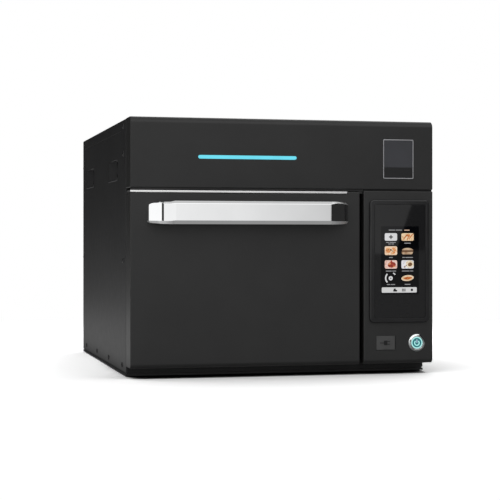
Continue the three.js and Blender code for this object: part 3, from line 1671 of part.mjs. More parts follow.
function coolingFanWheel() {
  const back = -fanHubDepth - fit;
  const front = -fanDepth + overrun;
  const hub = revolved([
    [0, front], [fanHubRadius, front], [fanHubRadius, back], [fanPinRadius + fit, back],
    [fanPinRadius + fit, fanHubDepth - fanDepth], [0, fanHubDepth - fanDepth],
  ], smallSides);
  const reach = fanBladeTip - fanHubRadius + overrun;
  const blades = [];
  for (let i = 0; i < fanBladeCount; i += 1) {
    const geometry = new THREE.BoxGeometry(reach, fanBladeThickness, fanBladeDepth);
    geometry.rotateX(THREE.MathUtils.degToRad(fanBladePitch));
    geometry.translate(fanBladeTip - reach / 2, (front + back) / 2, 0);
    geometry.rotateY((2 * Math.PI * i) / fanBladeCount);
    blades.push(solidOf(geometry));
  }
  return joined([hub, ...blades]);
}

// Finishes, as colours seen in soft light
function finish(color, roughness, metalness) {
  return new THREE.MeshStandardMaterial({ color, roughness, metalness, flatShading: true });
}

const blackCoat = finish(0x2b2c2e, 0.45, 0.2);
const blackFascia = finish(0x303133, 0.35, 0.2);
const blackPlastic = finish(0x2a2b2c, 0.4, 0);
const darkGlass = finish(0x1b1c1e, 0.08, 0);
const chrome = finish(0xd8dadb, 0.12, 1);
const brushed = finish(0xb9bbbc, 0.35, 1);
const stainless = finish(0xa9abac, 0.4, 1);
const galvanised = finish(0x8e9294, 0.5, 0.9);
const rubber = finish(0x1a1a1a, 0.8, 0);
const wool = finish(0xd9d3bf, 0.95, 0);
const cyanLight = finish(0x67dbf2, 0.3, 0);
const boardGreen = finish(0x1f5b39, 0.6, 0);
const castIron = finish(0x4a4644, 0.6, 0.6);
const greyPlastic = finish(0x3e3f41, 0.5, 0);

// Assembly: the root group moves the origin to the middle of the footprint, on the table
const oven = new THREE.Group();
const rearReach = depth + fit + glandFlange + glandDome;
oven.position.set(0, -(rearReach - handleReach) / 2, 0);

function place(parent, name, solid, material, position = [0, 0, 0]) {
  const mesh = new THREE.Mesh(geometryOf(solid), material);
  mesh.name = name;
  mesh.position.set(...position);
  parent.add(mesh);
}

function subgroup() {
  const group = new THREE.Group();
  oven.add(group);
  return group;
}

const sideNames = ['left', 'right'];

const cabinet = subgroup();
place(cabinet, 'base_tray', baseTray(), blackCoat);
footPlaces().forEach((at, i) => {
  const mesh = new THREE.Mesh(geometryOf(foot()), rubber);
  mesh.name = `foot_${i < 2 ? 'left' : 'right'}_${i % 2 === 0 ? 'front' : 'rear'}`;
  mesh.rotation.x = Math.PI / 2;
  mesh.position.set(...at, 0);
  cabinet.add(mesh);
});
place(cabinet, 'left_side_panel', sidePanel(-1), blackCoat);
place(cabinet, 'right_side_panel', sidePanel(1), blackCoat);
place(cabinet, 'top_cover', topCover(), blackCoat);
place(cabinet, 'front_frame', frontFrame(), blackCoat);
place(cabinet, 'lower_front_rail', lowerFrontRail(), blackCoat);
place(cabinet, 'rear_panel', rearPanel(), blackCoat);
place(cabinet, 'cable_gland', cableGland(), blackPlastic, [glandX, depth, glandZ]);

const header = subgroup();
place(header, 'header_panel', headerPanel(), blackFascia);
place(header, 'status_light_pipe', statusLightPipe(), cyanLight);
place(header, 'status_light_board', statusLightBoard(), boardGreen);

const controls = subgroup();
place(controls, 'control_panel', controlPanel(), blackFascia);
place(controls, 'touch_bezel', touchBezel(), blackPlastic);
place(controls, 'touch_glass', touchGlass(), darkGlass);
place(controls, 'lcd_module', lcdModule(), galvanised);
place(controls, 'control_board', controlBoard(), boardGreen);
place(controls, 'usb_socket', usbSocket(), brushed);
place(controls, 'usb_cover', usbCover(), greyPlastic);
const buttonAt = [buttonX, 0, buttonZ];
place(controls, 'power_switch_body', powerSwitchBody(), brushed, buttonAt);
place(controls, 'power_button_cap', powerButtonCap(), brushed, buttonAt);
place(controls, 'power_button_light_ring', buttonLightRing(), cyanLight, buttonAt);

const door = subgroup();
place(door, 'door_outer_shell', doorOuterShell(), blackFascia);
place(door, 'door_inner_panel', doorInnerPanel(), stainless);
place(door, 'door_insulation', doorInsulation(), wool);
place(door, 'door_choke', doorChoke(), stainless);
place(door, 'door_trim_strip', doorTrimStrip(), chrome);
place(door, 'door_handle', doorHandle(), chrome);
boltPlaces().forEach(([x, z], i) => {
  place(door, `handle_bolt_${sideNames[i]}`, handleBolt(), galvanised, [x, doorSheet, z]);
});
hingePlaces().forEach((x, i) => {
  place(door, `hinge_arm_${sideNames[i]}`, hingeArm(), galvanised, [x, 0, 0]);
  place(door, `hinge_pin_${sideNames[i]}`, hingePin(), brushed, [x, 0, 0]);
  place(cabinet, `hinge_bracket_${sideNames[i]}`, hingeBracket(), galvanised, [x, 0, 0]);
});
hookPlaces().forEach((x, i) => {
  place(door, `latch_hook_${sideNames[i]}`, latchHook(), brushed, [x, 0, 0]);
  place(cabinet, `interlock_switch_${sideNames[i]}`, interlockSwitch(), greyPlastic, [x, 0, 0]);
});

const cavity = subgroup();
place(cavity, 'cavity_liner', cavityLiner(), stainless);
place(cavity, 'cavity_insulation', cavityInsulation(), wool);
place(cavity, 'upper_jet_plate', upperJetPlate(), stainless);
place(cavity, 'lower_jet_plate', lowerJetPlate(), stainless);
place(cavity, 'wire_rack', wireRack(), chrome);

const blower = subgroup();
place(blower, 'blower_housing', blowerHousing(), stainless);
const rotorAt = [cavityCentre, blowerFront, cavityMiddle];
place(blower, 'blower_wheel', blowerWheel(), stainless, rotorAt);
place(blower, 'blower_shaft', blowerShaft(), brushed, rotorAt);
place(blower, 'blower_motor', blowerMotor(), castIron, [cavityCentre, motorFront, cavityMiddle]);
place(blower, 'air_heater_coil', airHeaterCoil(), brushed);
place(blower, 'catalyst', catalyst(), stainless);

const electrics = subgroup();
place(electrics, 'waveguide', waveguide(), galvanised);
place(electrics, 'magnetron', magnetron(), galvanised);
place(electrics, 'hv_transformer', hvTransformer(), castIron);
place(electrics, 'hv_capacitor', hvCapacitor(), galvanised);
const fanAt = [fanX, depth - sheet - fit, fanZ];
place(electrics, 'cooling_fan_frame', coolingFanFrame(), blackPlastic, fanAt);
place(electrics, 'cooling_fan_wheel', coolingFanWheel(), blackPlastic, fanAt);

export default oven;
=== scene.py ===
"""Looks of the countertop speed oven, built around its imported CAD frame."""
from math import atan2, cos, pi, radians, sin, sqrt, tan

import bmesh
import bpy
from mathutils import Matrix, Vector


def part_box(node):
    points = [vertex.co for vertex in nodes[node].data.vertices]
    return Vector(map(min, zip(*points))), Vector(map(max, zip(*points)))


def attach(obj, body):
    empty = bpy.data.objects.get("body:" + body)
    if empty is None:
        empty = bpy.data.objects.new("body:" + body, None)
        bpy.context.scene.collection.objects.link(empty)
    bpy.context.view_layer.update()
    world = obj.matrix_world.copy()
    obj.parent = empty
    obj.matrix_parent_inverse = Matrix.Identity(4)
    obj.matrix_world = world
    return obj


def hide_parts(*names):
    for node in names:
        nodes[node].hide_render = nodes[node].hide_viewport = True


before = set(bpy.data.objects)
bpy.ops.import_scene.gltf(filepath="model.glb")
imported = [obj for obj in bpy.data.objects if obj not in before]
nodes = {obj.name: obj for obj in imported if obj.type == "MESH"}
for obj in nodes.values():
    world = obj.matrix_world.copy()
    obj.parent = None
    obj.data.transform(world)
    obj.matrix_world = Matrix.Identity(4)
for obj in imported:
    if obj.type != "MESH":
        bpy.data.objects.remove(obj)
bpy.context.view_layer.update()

# Shapes below are in millimetres: X from the middle, Y back from the door's face, Z up from the table
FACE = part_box("header_panel")[0].y
PLACE = Matrix.Translation((0, FACE, 0)) @ Matrix.Scale(0.001, 4)
UNPLACE = PLACE.inverted()
HALF_WIDTH = 250


def span(node):
    """The corners of a CAD node in millimetres."""
    low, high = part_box(node)
    return UNPLACE @ low, UNPLACE @ high


def middle(node):
    return [(a + b) / 2 for a, b in zip(*span(node))]


def face_of(node):
    """A CAD node's left, right, lower and upper limits, seen from the front."""
    low, high = span(node)
    return low.x, high.x, low.z, high.z


def grown(face, by):
    return face[0] - by, face[1] + by, face[2] - by, face[3] + by


def placed(name, data):
    """A new object in the scene."""
    obj = bpy.data.objects.new(name, data)
    bpy.context.scene.collection.objects.link(obj)
    return obj


# Camera

camera_data = bpy.data.cameras.new("camera")
camera_data.lens = 104.8
camera_data.sensor_width = 36
camera_data.shift_y = -0.018
camera = placed("camera", camera_data)
camera.location = (-0.5992, -2.54235, 0.2166)
camera.rotation_euler = (radians(90), 0, radians(-13.52))
bpy.context.scene.camera = camera
bpy.context.scene.view_settings.view_transform = "Standard"

# Materials

WHITE = (1, 1, 1, 1)
UNLIT = (0.01, 0.01, 0.01, 1)


def linear(*rgb):
    """An sRGB colour of 0 to 255 as the linear colour that a shader takes."""
    share = [c / 255 for c in rgb]
    return tuple(c / 12.92 if c <= 0.04045 else ((c + 0.055) / 1.055) ** 2.4 for c in share) + (1.0,)


def grey(value):
    return value, value, value, 1


def tinted(color, factor):
    """The colour made darker or lighter."""
    return tuple(min(c * factor, 1) for c in color[:3]) + (1,)


class Nodes:
    """Adds and links the shader nodes of one material or world."""

    def __init__(self, owner, output):
        owner.use_nodes = True
        self.tree = owner.node_tree
        self.tree.nodes.clear()
        self.surface = self.add(output).inputs["Surface"]

    def put(self, target, value):
        """Links an output to the input, or sets a plain value there."""
        if isinstance(value, bpy.types.NodeSocket):
            self.tree.links.new(value, target)
        else:
            target.default_value = value

    def add(self, kind, *inputs, **values):
        """A node with its first inputs given in order and its settings and other inputs by name."""
        node = self.tree.nodes.new("ShaderNode" + kind)
        for key, value in values.items():
            if hasattr(node, key):
                setattr(node, key, value)
            else:
                self.put(node.inputs[key.replace("_", " ")], value)
        for target, value in zip(node.inputs, inputs):
            self.put(target, value)
        return node

    def split(self, vector):
        return self.add("SeparateXYZ", vector).outputs

    def math(self, operation, *inputs):
        return self.add("Math", *inputs, operation=operation).outputs[0]

    def product(self, first, second):
        return self.math("MULTIPLY", first, second)

    def blend(self, factor, first, second):
        return self.add("MixShader", factor, first, second).outputs[0]

    def mixed(self, factor, first, second):
        """The first value where the factor is zero, the second where it is one."""
        return self.add("Mix", data_type="FLOAT", Factor=factor, A=first, B=second).outputs["Result"]

    def ramp(self, factor, *stops):
        node = self.add("ValToRGB", factor)
        elements = node.color_ramp.elements
        while len(elements) < len(stops):
            elements.new(0.5)
        for element, (position, color) in zip(elements, stops):
            element.position = position
            element.color = color
        return node.outputs["Color"]

    def between(self, factor, low, high):
        return self.add("MapRange", Value=factor, To_Min=low, To_Max=high).outputs["Result"]

    def ranged(self, value, low, high, low_result, high_result):
        """A smooth step from one result to the other."""
        return self.add(
            "MapRange", interpolation_type="SMOOTHSTEP", Value=value,
            From_Min=low, From_Max=high, To_Min=low_result, To_Max=high_result,
        ).outputs["Result"]


class Surface(Nodes):
    """A new material, with its shader unless it is a bare one."""

    def __init__(self, name, bare=False):
        self.material = bpy.data.materials.new(name)
        super().__init__(self.material, "OutputMaterial")
        self.place = self.add("TexCoord").outputs["Object"]
        if not bare:
            self.shader = self.add("BsdfPrincipled")
            self.put(self.surface, self.shader.outputs[0])

    def set(self, **values):
        for key, value in values.items():
            self.put(self.shader.inputs[key.replace("_", " ")], value)

    def noise(self, scale, detail=3.0, vector=None):
        return self.add("TexNoise", Scale=scale, Detail=detail, Vector=vector or self.place).outputs["Fac"]

    def cells(self, scale, vector=None):
        return self.add("TexVoronoi", Scale=scale, Vector=vector or self.place).outputs

    def stretched(self, scale):
        return self.add("Mapping", Vector=self.place, Scale=scale).outputs[0]

    def tilt(self):
        """How far a face looks up."""
        return self.split(self.add("NewGeometry").outputs["True Normal"])["Z"]

    def wiped(self, low, high, roughness):
        """Bright metal with faint wipe marks."""
        self.set(Base_Color=self.ramp(self.noise(25, 3), (0.3, low), (0.7, high)), Roughness=roughness, Metallic=1.0)

    def bump(self, height, distance, strength):
        self.set(Normal=self.add("Bump", Height=height, Distance=distance, Strength=strength).outputs[0])


def coated(name, color, rough, grain=2200.0, depth=0.00004, specular=0.5, spread=0.12):
    """Powder coat: a fine orange-peel grain, a little mottling and uneven gloss."""
    n = Surface(name)
    n.set(
        Base_Color=n.ramp(n.noise(14, 4), (0.35, tinted(color, 1 - spread)), (0.65, tinted(color, 1 + spread))),
        Roughness=n.between(n.noise(60, 5), rough - 0.04, rough + 0.04), Specular_IOR_Level=specular,
    )
    n.bump(n.noise(grain, 2), depth, 0.6)
    return n.material


def brushed_metal(name, color, rough, along, lines=1400, mottle=0.06):
    """Metal with fine lines along one axis."""
    n = Surface(name)
    lay = n.noise(1.0, 3, n.stretched([lines / 90 if axis == along else lines for axis in "XYZ"]))
    n.set(
        Base_Color=n.ramp(lay, (0.3, tinted(color, 1 - mottle)), (0.7, tinted(color, 1 + mottle))),
        Roughness=n.between(n.noise(9, 4), rough - 0.05, rough + 0.05), Metallic=1.0,
    )
    n.bump(lay, 0.00002, 0.5)
    return n.material


CHROME = (0.93, 0.935, 0.94, 1)
CHROME_ROUGHNESS = 0.02


def polished(name):
    n = Surface(name)
    n.wiped(tinted(CHROME, 0.97), CHROME, n.between(n.noise(40, 5), CHROME_ROUGHNESS * 0.7, CHROME_ROUGHNESS * 1.3))
    return n.material


# Places on the bar in metres, and how far a chamfer's face looks up or down
HANDLE_MIDDLE = -0.0605
HANDLE_BENDS = (0.1245, 0.1305)
RIGHT_BEND = (0.064, 0.07)
CHAMFER_TILTS = (0.15, 0.4)
SATIN_BELOW = 0.53
SATIN_ABOVE = 0.42


def handle_finish(name):
    """Bright chrome that is satin on the lower chamfers of the bent ends and on the upper one at the right."""
    n = Surface(name)
    tilt, across = n.tilt(), n.split(n.place)["X"]
    bent = n.ranged(n.math("ABSOLUTE", n.math("ADD", across, -HANDLE_MIDDLE)), *HANDLE_BENDS, 0, 1)
    below = n.product(n.ranged(tilt, -CHAMFER_TILTS[0], -CHAMFER_TILTS[1], 0, SATIN_BELOW), bent)
    above = n.product(n.ranged(tilt, *CHAMFER_TILTS, 0, SATIN_ABOVE), n.ranged(across, *RIGHT_BEND, 0, 1))
    n.wiped((0.9, 0.905, 0.91, 1), CHROME, n.math("ADD", n.math("ADD", below, above), CHROME_ROUGHNESS))
    return n.material


def ring_finish(name):
    """Bright chrome above and satin below, tinted a little teal as painted light from the button's glowing ring."""
    n = Surface(name)
    n.wiped((0.86, 0.9, 0.9, 1), (0.9, 0.94, 0.94, 1), n.ranged(n.tilt(), 0.12, -0.06, CHROME_ROUGHNESS, 0.5))
    return n.material


def zinc(name):
    """Galvanised sheet with its spangle."""
    n = Surface(name)
    spangle = n.cells(160)
    n.set(
        Base_Color=n.ramp(spangle["Color"], (0.1, linear(150, 154, 157)), (0.9, linear(186, 190, 193))),
        Roughness=n.between(spangle["Distance"], 0.38, 0.52), Metallic=1.0,
    )
    n.bump(n.noise(500, 2), 0.00003, 0.4)
    return n.material


def moulded(name, color, rough, grain=1500, depth=0.00003):
    """Moulded plastic or rubber with a fine spark grain."""
    n = Surface(name)
    n.set(
        Base_Color=n.ramp(n.noise(30, 3), (0.4, tinted(color, 0.9)), (0.6, tinted(color, 1.1))),
        Roughness=n.between(n.noise(80, 3), rough - 0.03, rough + 0.03),
    )
    n.bump(n.cells(grain)["Distance"], depth, 0.5)
    return n.material


def dark_glass(name, color):
    """Black backed glass with faint wipe marks."""
    n = Surface(name)
    n.set(
        Base_Color=n.ramp(n.noise(8, 3), (0.3, tinted(color, 0.9)), (0.7, color)),
        Roughness=n.between(n.noise(22, 6), 0.01, 0.035), IOR=1.5,
    )
    return n.material


def glowing(name, *rgb):
    """A lit, slightly uneven surface."""
    n = Surface(name)
    color = linear(*rgb)
    shade = n.ramp(n.noise(35, 2), (0.35, tinted(color, 0.94)), (0.65, color))
    n.set(Emission_Color=shade, Base_Color=UNLIT, Roughness=0.25, Emission_Strength=1.0)
    return n.material


def wool(name):
    n = Surface(name)
    fibres = n.noise(1.0, 6, n.stretched((220, 260, 900)))
    n.set(Base_Color=n.ramp(fibres, (0.3, linear(196, 186, 158)), (0.7, linear(233, 227, 206))), Roughness=0.95)
    n.bump(fibres, 0.0008, 0.8)
    return n.material


def circuit(name):
    """Green solder mask with paler tracks."""
    n = Surface(name)
    bricks = n.add(
        "TexBrick", Vector=n.stretched((1, 0, 1)), Color1=linear(22, 84, 52), Color2=linear(28, 96, 60),
        Mortar=linear(58, 132, 84), Scale=120, Mortar_Size=0.03,
    ).outputs
    n.set(Base_Color=bricks["Color"], Roughness=0.4)
    n.bump(bricks["Fac"], 0.00003, 0.4)
    return n.material


def varnished(name):
    """Laminated iron under brown varnish."""
    n = Surface(name)
    sheets = n.noise(1.0, 2, n.stretched((30, 1500, 30)))
    shade = n.ramp(sheets, (0.3, linear(52, 46, 42)), (0.7, linear(84, 74, 66)))
    n.set(Base_Color=shade, Roughness=0.45, Metallic=0.4)
    n.bump(sheets, 0.0001, 0.5)
    return n.material


def served(name, scale, seed, *colors):
    """A lit picture: a made-up pattern of blotches in the given colours."""
    n = Surface(name)
    moved = n.add("Mapping", Vector=n.place, Location=(seed, seed * 0.7, seed * 1.3)).outputs[0]
    blotches = n.mixed(0.45, n.cells(scale, moved)["Distance"], n.noise(scale * 0.9, 4, moved))
    step = 0.5 / (len(colors) - 1)
    shade = n.ramp(blotches, *[(0.2 + i * step, linear(*c)) for i, c in enumerate(colors)])
    n.set(Emission_Color=shade, Base_Color=UNLIT, Roughness=0.1, Emission_Strength=0.9)
    return n.material


cabinet_coat = coated("cabinet_coat", linear(34, 34, 35), 0.4)
front_coat = coated("front_coat", linear(43, 43, 43), 0.36, 2600, 0.00002, specular=0.4, spread=0.06)
header_coat = coated("header_coat", linear(40, 40, 40), 0.36, 2600, 0.00002, specular=0.35, spread=0.06)
bezel_plastic = moulded("bezel_plastic", linear(34, 34, 35), 0.14, 1800, 0.00001)
black_plastic = moulded("black_plastic", linear(30, 30, 31), 0.45)
grey_plastic = moulded("grey_plastic", linear(72, 72, 72), 0.5)
badge_upper = coated("badge_upper", linear(52, 53, 58), 0.4, 1200)
badge_lower = coated("badge_lower", linear(14, 14, 16), 0.35, 1200)
glass = dark_glass("display_glass", linear(32, 32, 33))
screen_black = dark_glass("screen_black", linear(4, 5, 8))
chrome = polished("chrome")
handle_chrome = handle_finish("handle_chrome")
ring_metal = ring_finish("ring_metal")
trim_steel = brushed_metal("trim_steel", grey(0.97), 0.28, "X", mottle=0.03)
silver = brushed_metal("silver_border", (0.55, 0.55, 0.57, 1), 0.35, "X")
steel = brushed_metal("brushed_steel", (0.6, 0.61, 0.62, 1), 0.3, "Y")
stainless_x, stainless_y = (
    brushed_metal(f"stainless_{axis.lower()}", (0.56, 0.56, 0.57, 1), 0.32, axis, lines=900) for axis in "XY"
)
galvanised = zinc("galvanised")
black_screw = coated("black_screw", linear(24, 24, 25), 0.35, grain=3000)
rubber = moulded("rubber", linear(22, 22, 22), 0.75, grain=900)
blanket = wool("mineral_wool")
board = circuit("circuit_board")
iron = varnished("varnished_iron")
cyan = glowing("cyan_light", 104, 222, 243)
ring_light = glowing("ring_light", 176, 244, 240)
bar_light = glowing("bar_light", 164, 190, 210)
button_face = glowing("button_face", 30, 112, 118)
label_light = glowing("label_light", 146, 146, 148)
label_warm = glowing("label_warm", 200, 168, 146)
tile_white = glowing("tile_white", 214, 214, 216)
bar_white = glowing("bar_white", 206, 206, 206)
icon_dark = coated("icon_dark", linear(22, 22, 24), 0.3)
icon_grey = coated("icon_grey", linear(84, 84, 86), 0.3)


# Mesh tools

def rounded(points, radii, steps=6):
    """A closed outline with its corners rounded; radii is one number or one for each point."""
    result = []
    count = len(points)
    for i, point in enumerate(points):
        radius = radii[i] if isinstance(radii, (list, tuple)) else radii
        here = Vector(point)
        if radius <= 0:
            result.append(tuple(here))
            continue
        a = (Vector(points[i - 1]) - here).normalized()
        b = (Vector(points[(i + 1) % count]) - here).normalized()
        half = a.angle(b) / 2
        centre = here + (a + b).normalized() * (radius / sin(half))
        start = here + a * (radius / tan(half)) - centre
        end = here + b * (radius / tan(half)) - centre
        turn = atan2(start.x * end.y - start.y * end.x, start.dot(end))
        for k in range(steps + 1):
            c, s = cos(turn * k / steps), sin(turn * k / steps)
            result.append((centre.x + c * start.x - s * start.y, centre.y + s * start.x + c * start.y))
    return result


def rectangle(u0, u1, v0, v1, radii=0, steps=6):
    return rounded([(u0, v0), (u1, v0), (u1, v1), (u0, v1)], radii, steps)


def circle(u, v, radius, sides=32):
    turn = 2 * pi / sides
    return [(u + radius * cos(turn * i), v + radius * sin(turn * i)) for i in range(sides)]


def arc_band(x, z, inner, outer, start, end, steps=12):
    angles = [radians(start + (end - start) * i / steps) for i in range(steps + 1)]
    outside = [(x + outer * cos(a), z + outer * sin(a)) for a in angles]
    return outside + [(x + inner * cos(a), z + inner * sin(a)) for a in reversed(angles)]


def loft(rings, closed=False):
    """A skin over rings of points; the ends are flat faces unless the rings close on themselves."""
    bm = bmesh.new()
    rows = [[bm.verts.new(p) for p in ring] for ring in rings]
    pairs = list(zip(rows, rows[1:])) + ([(rows[-1], rows[0])] if closed else [])
    for first, second in pairs:
        for j in range(len(first)):
            k = (j + 1) % len(first)
            bm.faces.new((first[j], first[k], second[k], second[j]))
    if not closed:
        bm.faces.new(list(reversed(rows[0])))
        bm.faces.new(rows[-1])
    bmesh.ops.recalc_face_normals(bm, faces=bm.faces)
    return bm


def prism(points, axis, start, end):
    """An outline in (y, z), (x, z) or (x, y) run along the X, Y or Z axis."""
    place = {
        "X": lambda p, a: (a, p[0], p[1]),
        "Y": lambda p, a: (p[0], a, p[1]),
        "Z": lambda p, a: (p[0], p[1], a),
    }[axis]
    return loft([[place(p, a) for p in points] for a in (start, end)])


def slab(face, front, back, radii=0, steps=6):
    """A plate with left, right, lower and upper limits, from front to back."""
    return prism(rectangle(*face, radii, steps), "Y", front, back)


def block(x0, x1, y0, y1, z0, z1):
    return slab((x0, x1, z0, z1), y0, y1)


def lathe(profile, centre, axis="Y", sides=96):
    """A closed profile of (radius, place along the Y or Z axis) turned about the axis through the centre."""
    bm = bmesh.new()
    rings = []
    for radius, along in profile:
        ring = []
        for i in range(sides if radius > 1e-6 else 1):
            u, v = radius * cos(2 * pi * i / sides), radius * sin(2 * pi * i / sides)
            offset = (u, along, v) if axis == "Y" else (u, v, along)
            ring.append(bm.verts.new(Vector(centre) + Vector(offset)))
        rings.append(ring)
    for i, first in enumerate(rings):
        second = rings[(i + 1) % len(rings)]
        if len(first) == 1 and len(second) == 1:
            continue
        for j in range(sides):
            k = (j + 1) % sides
            corners = (first[j % len(first)], first[k % len(first)], second[k % len(second)], second[j % len(second)])
            bm.faces.new(list(dict.fromkeys(corners)))
    bmesh.ops.recalc_face_normals(bm, faces=bm.faces)
    return bm


def tube(points, radius, sides=12, closed=False):
    """A round rod along a line of points."""
    path = [Vector(p) for p in points]
    rings = []
    count = len(path)
    for i, here in enumerate(path):
        before = path[i - 1] if i > 0 or closed else here
        after = path[(i + 1) % count] if i < count - 1 or closed else here
        ahead = (after - before).normalized()
        side = ahead.cross(Vector((0, 0, 1)))
        side = side.normalized() if side.length > 1e-6 else Vector((1, 0, 0))
        up = side.cross(ahead)
        angles = [2 * pi * j / sides for j in range(sides)]
        rings.append([here + (side * cos(angle) + up * sin(angle)) * radius for angle in angles])
    return loft(rings, closed)


def merged(parts):
    """Several closed meshes in one, each left as it is."""
    whole = bmesh.new()
    for part in parts:
        mesh = bpy.data.meshes.new("part")
        part.to_mesh(mesh)
        part.free()
        whole.from_mesh(mesh)
        bpy.data.meshes.remove(mesh)
    return whole


def combined(base, tools, operation="DIFFERENCE"):
    """The base cut by, or joined with, the tools, as one closed mesh."""
    objects = []
    for bm in [base, *tools]:
        mesh = bpy.data.meshes.new("tool")
        bm.to_mesh(mesh)
        bm.free()
        objects.append(placed("tool", mesh))
    for tool in objects[1:]:
        modifier = objects[0].modifiers.new("cut", "BOOLEAN")
        modifier.operation = operation
        modifier.solver = "EXACT"
        modifier.object = tool
    graph = bpy.context.evaluated_depsgraph_get()
    mesh = bpy.data.meshes.new_from_object(objects[0].evaluated_get(graph))
    result = bmesh.new()
    result.from_mesh(mesh)
    bpy.data.meshes.remove(mesh)
    for obj in objects:
        data = obj.data
        bpy.data.objects.remove(obj)
        bpy.data.meshes.remove(data)
    bmesh.ops.remove_doubles(result, verts=result.verts, dist=0.001)
    return result


def beveled(bm, edges, width, segments):
    bmesh.ops.bevel(bm, geom=edges, offset=width, segments=segments, profile=0.5, affect="EDGES", clamp_overlap=True)


def soften(bm, width, where=lambda middle: True, segments=2, angle=35):
    """Rounds the sharp edges whose middle passes the test."""
    picked = []
    for edge in bm.edges:
        if len(edge.link_faces) != 2 or edge.calc_face_angle(0) < radians(angle):
            continue
        if where((edge.verts[0].co + edge.verts[1].co) / 2):
            picked.append(edge)
    beveled(bm, picked, width, segments)
    return bm


def ahead_of(y):
    """A test for soften that picks what lies in front of a depth."""
    return lambda m: m.y < y


def copy_of(node):
    """A CAD node's mesh in millimetres, with its flat faces whole again."""
    bm = bmesh.new()
    bm.from_mesh(nodes[node].data)
    bm.transform(UNPLACE)
    bmesh.ops.remove_doubles(bm, verts=bm.verts, dist=0.002)
    bmesh.ops.dissolve_limit(bm, angle_limit=radians(0.5), verts=bm.verts, edges=bm.edges)
    return bm


def flat_faces(obj):
    """Gives large faces their true normals, so that soft edges don't shade across them."""
    weighted = obj.modifiers.new("weighted", "WEIGHTED_NORMAL")
    weighted.weight = 100
    weighted.keep_sharp = True
    graph = bpy.context.evaluated_depsgraph_get()
    mesh = bpy.data.meshes.new_from_object(obj.evaluated_get(graph), preserve_all_data_layers=True, depsgraph=graph)
    old = obj.data
    name = old.name
    obj.modifiers.clear()
    obj.data = mesh
    bpy.data.meshes.remove(old)
    mesh.name = name


def add(name, bm, material, replaces="", body="cabinet", angle=32):
    """Puts a mesh in the scene as a piece of the object."""
    bm.transform(PLACE)
    mesh = bpy.data.meshes.new(name)
    bm.to_mesh(mesh)
    bm.free()
    mesh.shade_smooth()
    mesh.set_sharp_from_angle(angle=radians(angle))
    mesh.materials.append(material)
    obj = placed(name, mesh)
    flat_faces(obj)
    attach(obj, body)
    if replaces:
        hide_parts(replaces)


# Front fascias

FASCIA_DEPTH = 44
FASCIA_WALL = 2
END_RADIUS = 1.5
SEAM_RADIUS = 1.5
HEADER_TOP_RADIUS = 10
FOOT_RADIUS = 7
CUT_START = -5


def fascia(face, low, high, wall):
    """A panel open at the back, with rounded long front edges and softly rounded ends."""
    x0, x1, z0, z1 = face
    outline = rounded([(0, z0), (FASCIA_DEPTH, z0), (FASCIA_DEPTH, z1), (0, z1)], [low, 0, 0, high], 10)
    outer = prism(outline, "X", x0, x1)
    ends = [
        e for e in outer.edges
        if abs(e.verts[0].co.x - e.verts[1].co.x) < 1e-6 and min(v.co.y for v in e.verts) < FASCIA_DEPTH - 1e-6
    ]
    beveled(outer, ends, END_RADIUS, 4)
    past = FASCIA_DEPTH + 5
    inside = rounded(
        [(wall, z0 + wall), (past, z0 + wall), (past, z1 - wall), (wall, z1 - wall)],
        [max(low - wall, 0), 0, 0, max(high - wall, 0)],
    )
    return combined(outer, [prism(inside, "X", x0 + wall, x1 - wall)])


# Header and its status light
LIGHT_FLANGE = 3
LIGHT_PROUD = 0.25
LIGHT_GAP = 0.3
SHY = 0.01

header_face = face_of("header_panel")
light = grown(face_of("status_light_pipe"), -LIGHT_FLANGE)
light_radius = (light[3] - light[2]) / 2
header = fascia(header_face, SEAM_RADIUS, HEADER_TOP_RADIUS, FASCIA_WALL)
header = combined(header, [slab(grown(light, LIGHT_GAP), CUT_START, 6, light_radius + LIGHT_GAP - SHY, 10)])
add("header_fascia", header, header_coat, "header_panel")
pipe = slab(light, -LIGHT_PROUD, 12, light_radius - SHY, 12)
soften(pipe, LIGHT_PROUD, ahead_of(-0.2))
add("status_light", pipe, cyan, "status_light_pipe")

# Control panel
PANEL_EAR = 6.3
USB_SIDE = 0.3
USB_HINGE = 1.4
USB_GAP_RIGHT = 0.9
USB_GAP_BELOW = 0.7
USB_CASE = 2
SWITCH_HOLE = 12.8
BEZEL_HOLE = 2.3

panel_face = face_of("control_panel")
panel_left = panel_face[0] + PANEL_EAR
column = fascia((panel_left, *panel_face[1:]), FOOT_RADIUS, SEAM_RADIUS, FASCIA_WALL)
ear = block(panel_face[0], panel_left + 2, 6, FASCIA_DEPTH, panel_face[3] - 4.5, panel_face[3])
cover_face = face_of("usb_cover")
usb = (
    cover_face[0] + USB_HINGE - USB_SIDE, cover_face[1] - USB_HINGE + USB_SIDE,
    cover_face[2] - USB_SIDE, cover_face[3] + USB_SIDE,
)
column = combined(column, [ear, slab(grown(usb, USB_CASE), 1, 4.9)], "UNION")
bezel_face, glass_face = face_of("touch_bezel"), face_of("touch_glass")
cap_middle = middle("power_button_cap")
button = Vector((cap_middle[0], 0, cap_middle[2]))
column = combined(column, [
    slab((usb[0], usb[1] + USB_GAP_RIGHT, usb[2] - USB_GAP_BELOW, usb[3]), CUT_START, 2.9),
    slab(grown(face_of("usb_socket"), -1.2), 0, 12),
    prism(circle(button.x, button.z, SWITCH_HOLE, 64), "Y", CUT_START, 8),
    slab(grown(glass_face, BEZEL_HOLE), CUT_START, 8),
])
soften(column, 0.25, lambda m: abs(m.y) < 0.01 and usb[0] - 1 < m.x < usb[1] + 1 and m.z < usb[3] + 1)
add("control_fascia", column, front_coat, "control_panel")

gasket = block(panel_left + 2, panel_face[1] - 0.9, 3, FASCIA_DEPTH, panel_face[3], header_face[2])
add("head_gasket", gasket, rubber)
lip = block(header_face[0] + 1, panel_left + 1, 4, 9, header_face[2] - 2.7, header_face[2] + 3)
add("header_lip", lip, front_coat)

